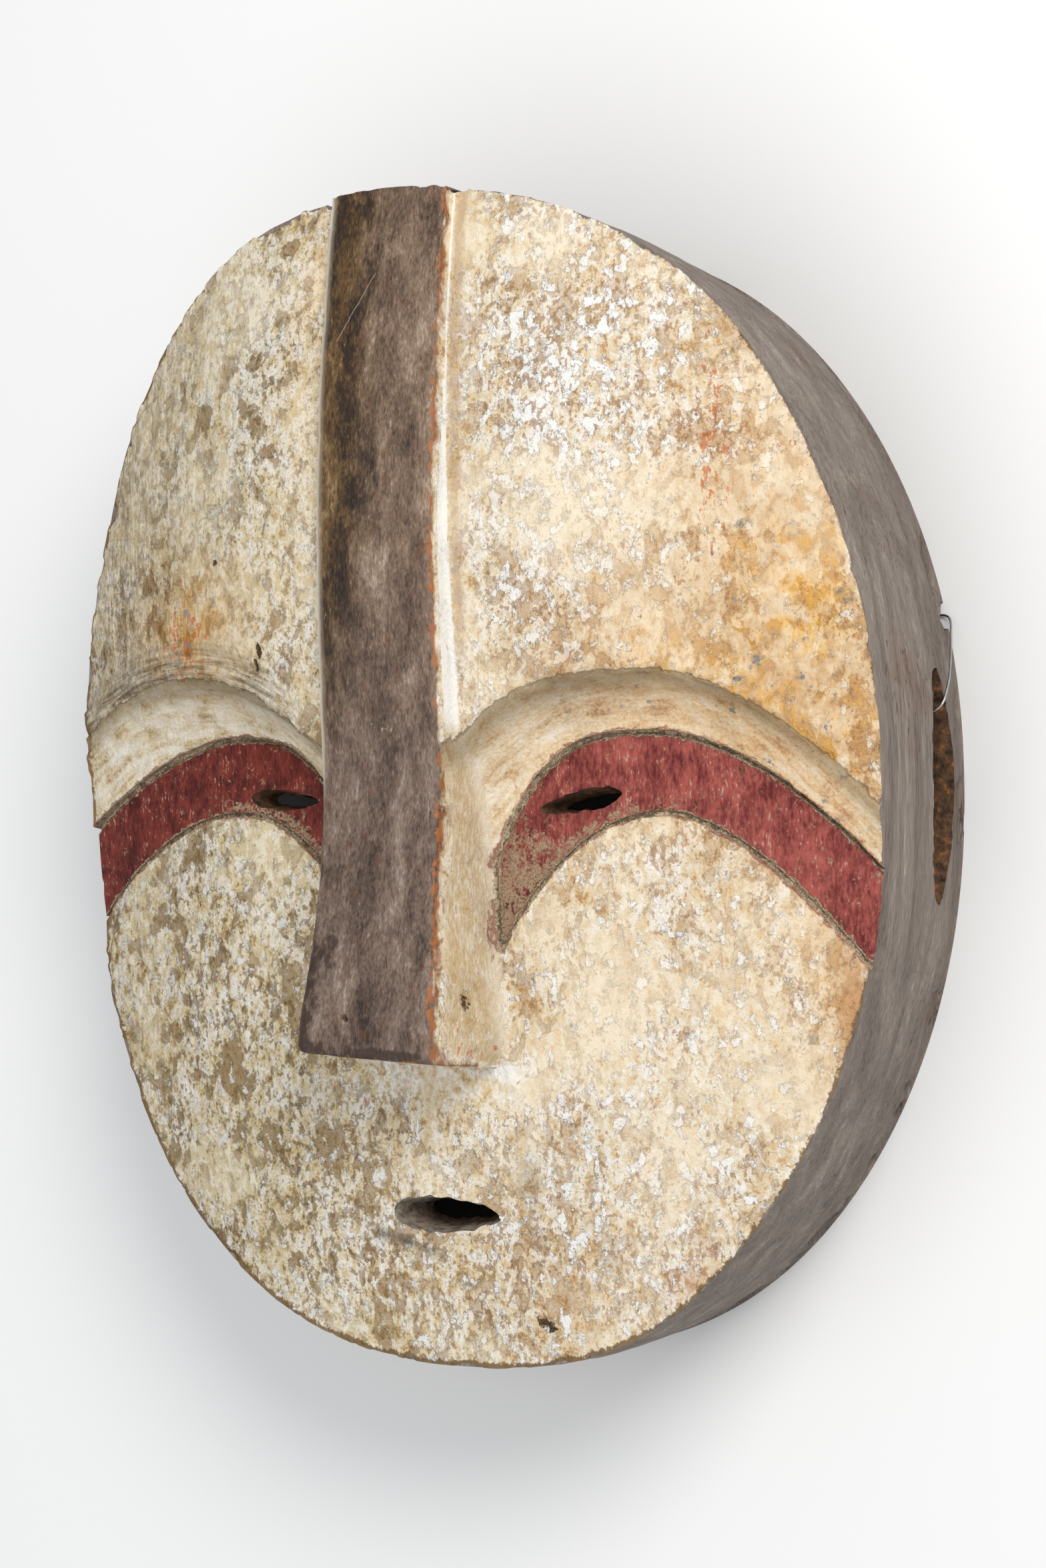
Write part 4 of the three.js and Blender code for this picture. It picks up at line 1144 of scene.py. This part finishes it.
# BFB8AE laid over the left is painted shade, broken up in streaks.
tone["crust"] = laid_over(
    "crust", ("BFB8AE", "left_shade", "grey_streak", "uncoved"), ("stain_colour", "stain", "uncoved"),
    blend="MULTIPLY",
)
tone["red"] = laid_over("red", ("light_red", "red_tone"), ("BE9C88", "scratched"), ("dirty", "dirty_red"))
tone["bar_grey"] = laid_over("bar_grey", ("EEF2FF", "down_bar", 0.9), blend="MULTIPLY")
tone["bar"] = laid_over(
    "bar", ("bar_grey", "patchy"), ("6A3F22", "bar_rust"), ("35241A", "blackened"), ("B9A58E", "fleck"),
    ("rusty", "worn_edge", "across_bar"), ("DCD0BC", "left_edge"),
)
skin = laid_over(
    "crust", ("C96A22", "rust"), ("85837E", "yellow", "soot"), ("bare_wood", "bared"),
    # 8A7757 under the brow is painted shade.
    ("rim_brown", "rim_darkening"), ("8A7757", "brow_shadow", "brow_shadow_top", 0.62),
    ("5E4930", "brow_line", "flakes"), ("6E6353", "smear", 0.7), ("94503F", "lip_here", "lip_patches"),
    ("crumbs", "in_groove"), ("4A3524", "groove_line", 0.65), ("red", "red_here"), ("bar", "on_bar"),
    # The dark colour in the pits is partly painted shade and partly dirt.
    ("pit_shade_and_dirt", "pit_shaded"),
)

at["crust_height"] = summed("chalky", lost=-1.0, coats=1.2, specks=0.6)
bare = add(tree, "Math", {0: at["on_bar"], 1: at["red_here"]}, operation="MAXIMUM")
at["crusted"] = add(tree, "Math", {0: 1.0, 1: bare}, operation="SUBTRACT")
at["height"] = together("crusted", "crust_height")
rough = add(tree, "MapRange", {0: at["on_bar"], 3: 0.92, 4: 0.55})
bump = {"Height": summed("height", fine_grain=0.8), "Strength": 0.9, "Distance": 0.0005}
bump = add(tree, "Bump", bump)
finish(tree, out, {"Base Color": skin, "Roughness": rough, "Normal": bump, "IOR": 1.45})

# The wall: light wood gone grey-brown with smoke and handling, its fibres raised and open.
tree, out = fresh(materials["weathered_wall"])
here = add(tree, "TexCoord", out=3)
fibres = add(tree, "Mapping", {"Vector": here, "Scale": (1, 0.06, 1)})
fine = add(tree, "TexNoise", {"Vector": fibres, "Scale": per_mm(0.8), "Detail": 6, "Roughness": 0.75})
broad = add(tree, "TexNoise", {"Vector": fibres, "Scale": per_mm(8), "Detail": 5, "Distortion": 0.8})
patch_tone = add(tree, "TexNoise", {"Vector": here, "Scale": per_mm(38), "Detail": 4})
grain_tone = add(tree, "Math", {0: broad, 1: 0.7, 2: fine}, operation="MULTIPLY_ADD")
grain_range = add(tree, "MapRange", {"Value": grain_tone, 1: 0.55, 2: 1.15})
wall_colour = add(tree, "ValToRGB", {0: grain_range}, stops=(
    (0.0, "382F29"), (1.0, "B8AB9D"), (0.3, "6E635A"), (0.7, "8C7F74"),
))
split = add(tree, "Mapping", {"Vector": fibres, "Location": (0.2, 0.3, 0.5)})
split = add(tree, "TexNoise", {"Vector": split, "Scale": per_mm(2.6), "Detail": 3, "Distortion": 0.3})
split = add(tree, "Math", {0: split, 1: 0.5, 2: 0.012}, operation="COMPARE")
open_split = add(tree, "MapRange", {"Value": patch_tone, 1: 0.44, 2: 0.60, 4: 0.75})
split = add(tree, "Math", {0: split, 1: open_split}, operation="MULTIPLY")
wall_colour = add(tree, "Mix", {0: split, 6: wall_colour, 7: linear("372D27")}, 2, data_type="RGBA")
browner = add(tree, "MapRange", {"Value": patch_tone, 1: 0.56, 2: 0.70}, interpolation_type="SMOOTHSTEP")
browner = add(tree, "Math", {0: browner, 1: 0.45}, operation="MULTIPLY")
wall_colour = add(tree, "Mix", {0: browner, 6: wall_colour, 7: linear("6A4630")}, 2, data_type="RGBA")
bump = add(tree, "Bump", {"Height": grain_tone, "Strength": 0.5, "Distance": 0.0006})
finish(tree, out, {"Base Color": wall_colour, "Roughness": 0.78, "Normal": bump})

# The hollow: adzed wood, brown from sweat and smoke.
tree, out = fresh(materials["adzed_hollow"])
here = add(tree, "TexCoord", out=3)
fibres = add(tree, "Mapping", {"Vector": here, "Scale": (1, 0.08, 1)})
fine = add(tree, "TexNoise", {"Vector": fibres, "Scale": per_mm(1.6), "Detail": 5, "Roughness": 0.6})
broad = add(tree, "TexNoise", {"Vector": here, "Scale": per_mm(40), "Detail": 4})
adzed_tone = add(tree, "Math", {0: broad, 1: 0.8, 2: fine}, operation="MULTIPLY_ADD")
adzed_tone = add(tree, "MapRange", {"Value": adzed_tone, 1: 0.6, 2: 1.2})
hollow_colour = add(tree, "ValToRGB", {0: adzed_tone}, stops=(
    (0.0, "1C130D"), (1.0, "7A5C3E"), (0.45, "3F2C1D"), (0.7, "5A4229"),
))
bump = add(tree, "Bump", {"Height": fine, "Strength": 0.5, "Distance": 0.0005})
finish(tree, out, {"Base Color": hollow_colour, "Roughness": 0.7, "Normal": bump})

# Knife-cut walls of the slits: dark dirty wood, paler at the front of the mouth, with specks of
# fresh orange wood.
MOUTH_WOOD_Y, FRONT_WOOD_Z = (-80.0, -110.0), (62.0, 78.0)
tree, out = fresh(materials["knife_cut_wood"])
here = add(tree, "TexCoord", out=3)
fine = add(tree, "TexNoise", {"Vector": here, "Scale": per_mm(3), "Detail": 6, "Roughness": 0.65})
low_part, to_front = (
    add(tree, "MapRange", {0: add(tree, "SeparateXYZ", {0: here}, axis), 1: start * MM, 2: stop * MM})
    for axis, (start, stop) in ((1, MOUTH_WOOD_Y), (2, FRONT_WOOD_Z))
)
low_part = add(tree, "Math", {0: low_part, 1: to_front}, operation="MULTIPLY")
dark = add(tree, "Mix", {0: low_part, 6: linear("281B12"), 7: linear("5C4F43")}, 2, data_type="RGBA")
light = add(tree, "Mix", {0: low_part, 6: linear("7A583C"), 7: linear("ABA090")}, 2, data_type="RGBA")
fine = add(tree, "MapRange", {"Value": fine, 1: 0.35, 2: 0.65})
cut_colour = add(tree, "Mix", {0: fine, 6: dark, 7: light}, 2, data_type="RGBA")
orange = add(tree, "MapRange", {"Value": fine, 1: 0.85, 2: 0.98}, interpolation_type="SMOOTHSTEP")
cut_colour = add(tree, "Mix", {0: orange, 6: cut_colour, 7: linear("B0601E")}, 2, data_type="RGBA")
bump = add(tree, "Bump", {"Height": fine, "Strength": 0.6, "Distance": 0.0005})
finish(tree, out, {"Base Color": cut_colour, "Roughness": 0.85, "Normal": bump})

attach(mask, "root")
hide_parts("mask")

# The hanging wire
# One length of thin bright steel wire. It lies across the back of the hollow, bends down into the
# two nicks of the back rim, round the outside, and in again through the side slots.

WIRE_RADIUS = 0.4
WIRE_SIDES = 8
WIRE_MIDDLE = ((62, 51, 7.4), (0, 56, 7), (-62, 51, 7.4))
WIRE_END = (
    (106, 44, 5.5), (113, 47.5, 3), (119, 49, 1.4), (126, 49, 1.2), (131.2, 49, 1.3),
    (133.8, 47.6, 3.4), (136, 42, 7.6), (138.4, 33, 13.4), (139.5, 26, 18), (138.6, 20.5, 20.8),
    (133, 18, 20.8), (125, 18.5, 18.6), (115, 25, 13), (100, 39, 8.5),
)


def wire_end(turn):
    return [(BACK_CENTRE[0] + turn * x, y, z) for x, y, z in WIRE_END]


def centripetal(points, steps=8):
    """A smooth curve through the points, which doesn't overshoot where they are close together."""
    points = np.array(points, float)
    points = np.vstack([2 * points[0] - points[1], points, 2 * points[-1] - points[-2]])
    out = []
    for a, b, c, d in zip(points, points[1:], points[2:], points[3:]):
        gaps = [np.linalg.norm(q - p) ** 0.5 for p, q in ((a, b), (b, c), (c, d))]
        ta, tb, tc, td = np.cumsum([0] + gaps)
        t = np.linspace(tb, tc, steps, endpoint=False)[:, None]
        ab = ((tb - t) * a + (t - ta) * b) / (tb - ta)
        bc = ((tc - t) * b + (t - tb) * c) / (tc - tb)
        cd = ((td - t) * c + (t - tc) * d) / (td - tc)
        abc = ((tc - t) * ab + (t - ta) * bc) / (tc - ta)
        bcd = ((td - t) * bc + (t - tb) * cd) / (td - tb)
        out.append(((tc - t) * abc + (t - tb) * bcd) / (tc - tb))
    return np.vstack(out + [points[-2:-1]])


route = wire_end(1)[::-1] + list(WIRE_MIDDLE) + wire_end(-1)
route = centripetal(route)
route[:, :2] += SHIFT
wire_curve = bpy.data.curves.new("hanging_wire", "CURVE")
wire_curve.dimensions = "3D"
wire_curve.bevel_depth = WIRE_RADIUS * MM
wire_curve.bevel_resolution = (WIRE_SIDES - 4) // 2
wire_curve.use_fill_caps = True
spline = wire_curve.splines.new("POLY")
spline.points.add(len(route) - 1)
spline.points.foreach_set("co", np.column_stack([route * MM, np.ones(len(route))]).ravel())
wire = bpy.data.objects.new("bent_wire", wire_curve)
bpy.context.scene.collection.objects.link(wire)
take_up(wire)
bpy.ops.object.convert(target="MESH")
bpy.ops.object.shade_smooth()

# Drawn steel wire, cleaned bright: a metal with fine dull patches.
steel = bpy.data.materials.new("drawn_steel_wire")
tree, out = fresh(steel)
here = add(tree, "TexCoord", out=3)
streaks = add(tree, "TexNoise", {"Vector": here, "Scale": per_mm(2.5), "Detail": 4})
bright = add(tree, "Mix", {0: streaks, 6: linear("8F9092"), 7: linear("D2D2D0")}, 2, data_type="RGBA")
dull = add(tree, "MapRange", {"Value": streaks, 3: 0.22, 4: 0.45})
finish(tree, out, {"Base Color": bright, "Metallic": 1.0, "Roughness": dull})
wire.data.materials.append(steel)

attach(wire, "root")
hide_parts("hanging_wire")

# The floor and the light
# A pale sheet of card under the mask. One soft light stands to the upper right, and a very large
# weak one hangs overhead.

bpy.ops.object.select_all(action="DESELECT")
bpy.ops.mesh.primitive_plane_add(size=8)
floor = bpy.context.object
floor.name = "floor"
card = bpy.data.materials.new("matt_card")
tree, out = fresh(card)
finish(tree, out, {"Base Color": linear("F3F3F2"), "Roughness": 0.95})
floor.data.materials.append(card)


def soft_light(name, place, size, watts, colour):
    """A round soft light that faces the middle of the mask."""
    data = bpy.data.lights.new(name, "AREA")
    data.shape = "DISK"
    data.size = size
    data.energy = watts
    data.color = colour
    light = bpy.data.objects.new(name, data)
    bpy.context.scene.collection.objects.link(light)
    light.location = place
    light.rotation_euler = (-Vector(place)).to_track_quat("-Z", "Y").to_euler()


soft_light("key", (0.95, 0.75, 1.2), 0.9, 18, (1.0, 0.985, 0.96))
soft_light("overhead", (-0.35, -0.8, 2.1), 3.0, 24, (0.98, 0.99, 1.0))
bpy.context.scene.view_settings.view_transform = "Standard"
world = bpy.data.worlds.new("studio")
bpy.context.scene.world = world
world.use_nodes = True
world.node_tree.nodes["Background"].inputs["Color"].default_value = (0.94, 0.96, 1.0, 1)
world.node_tree.nodes["Background"].inputs["Strength"].default_value = 0.40
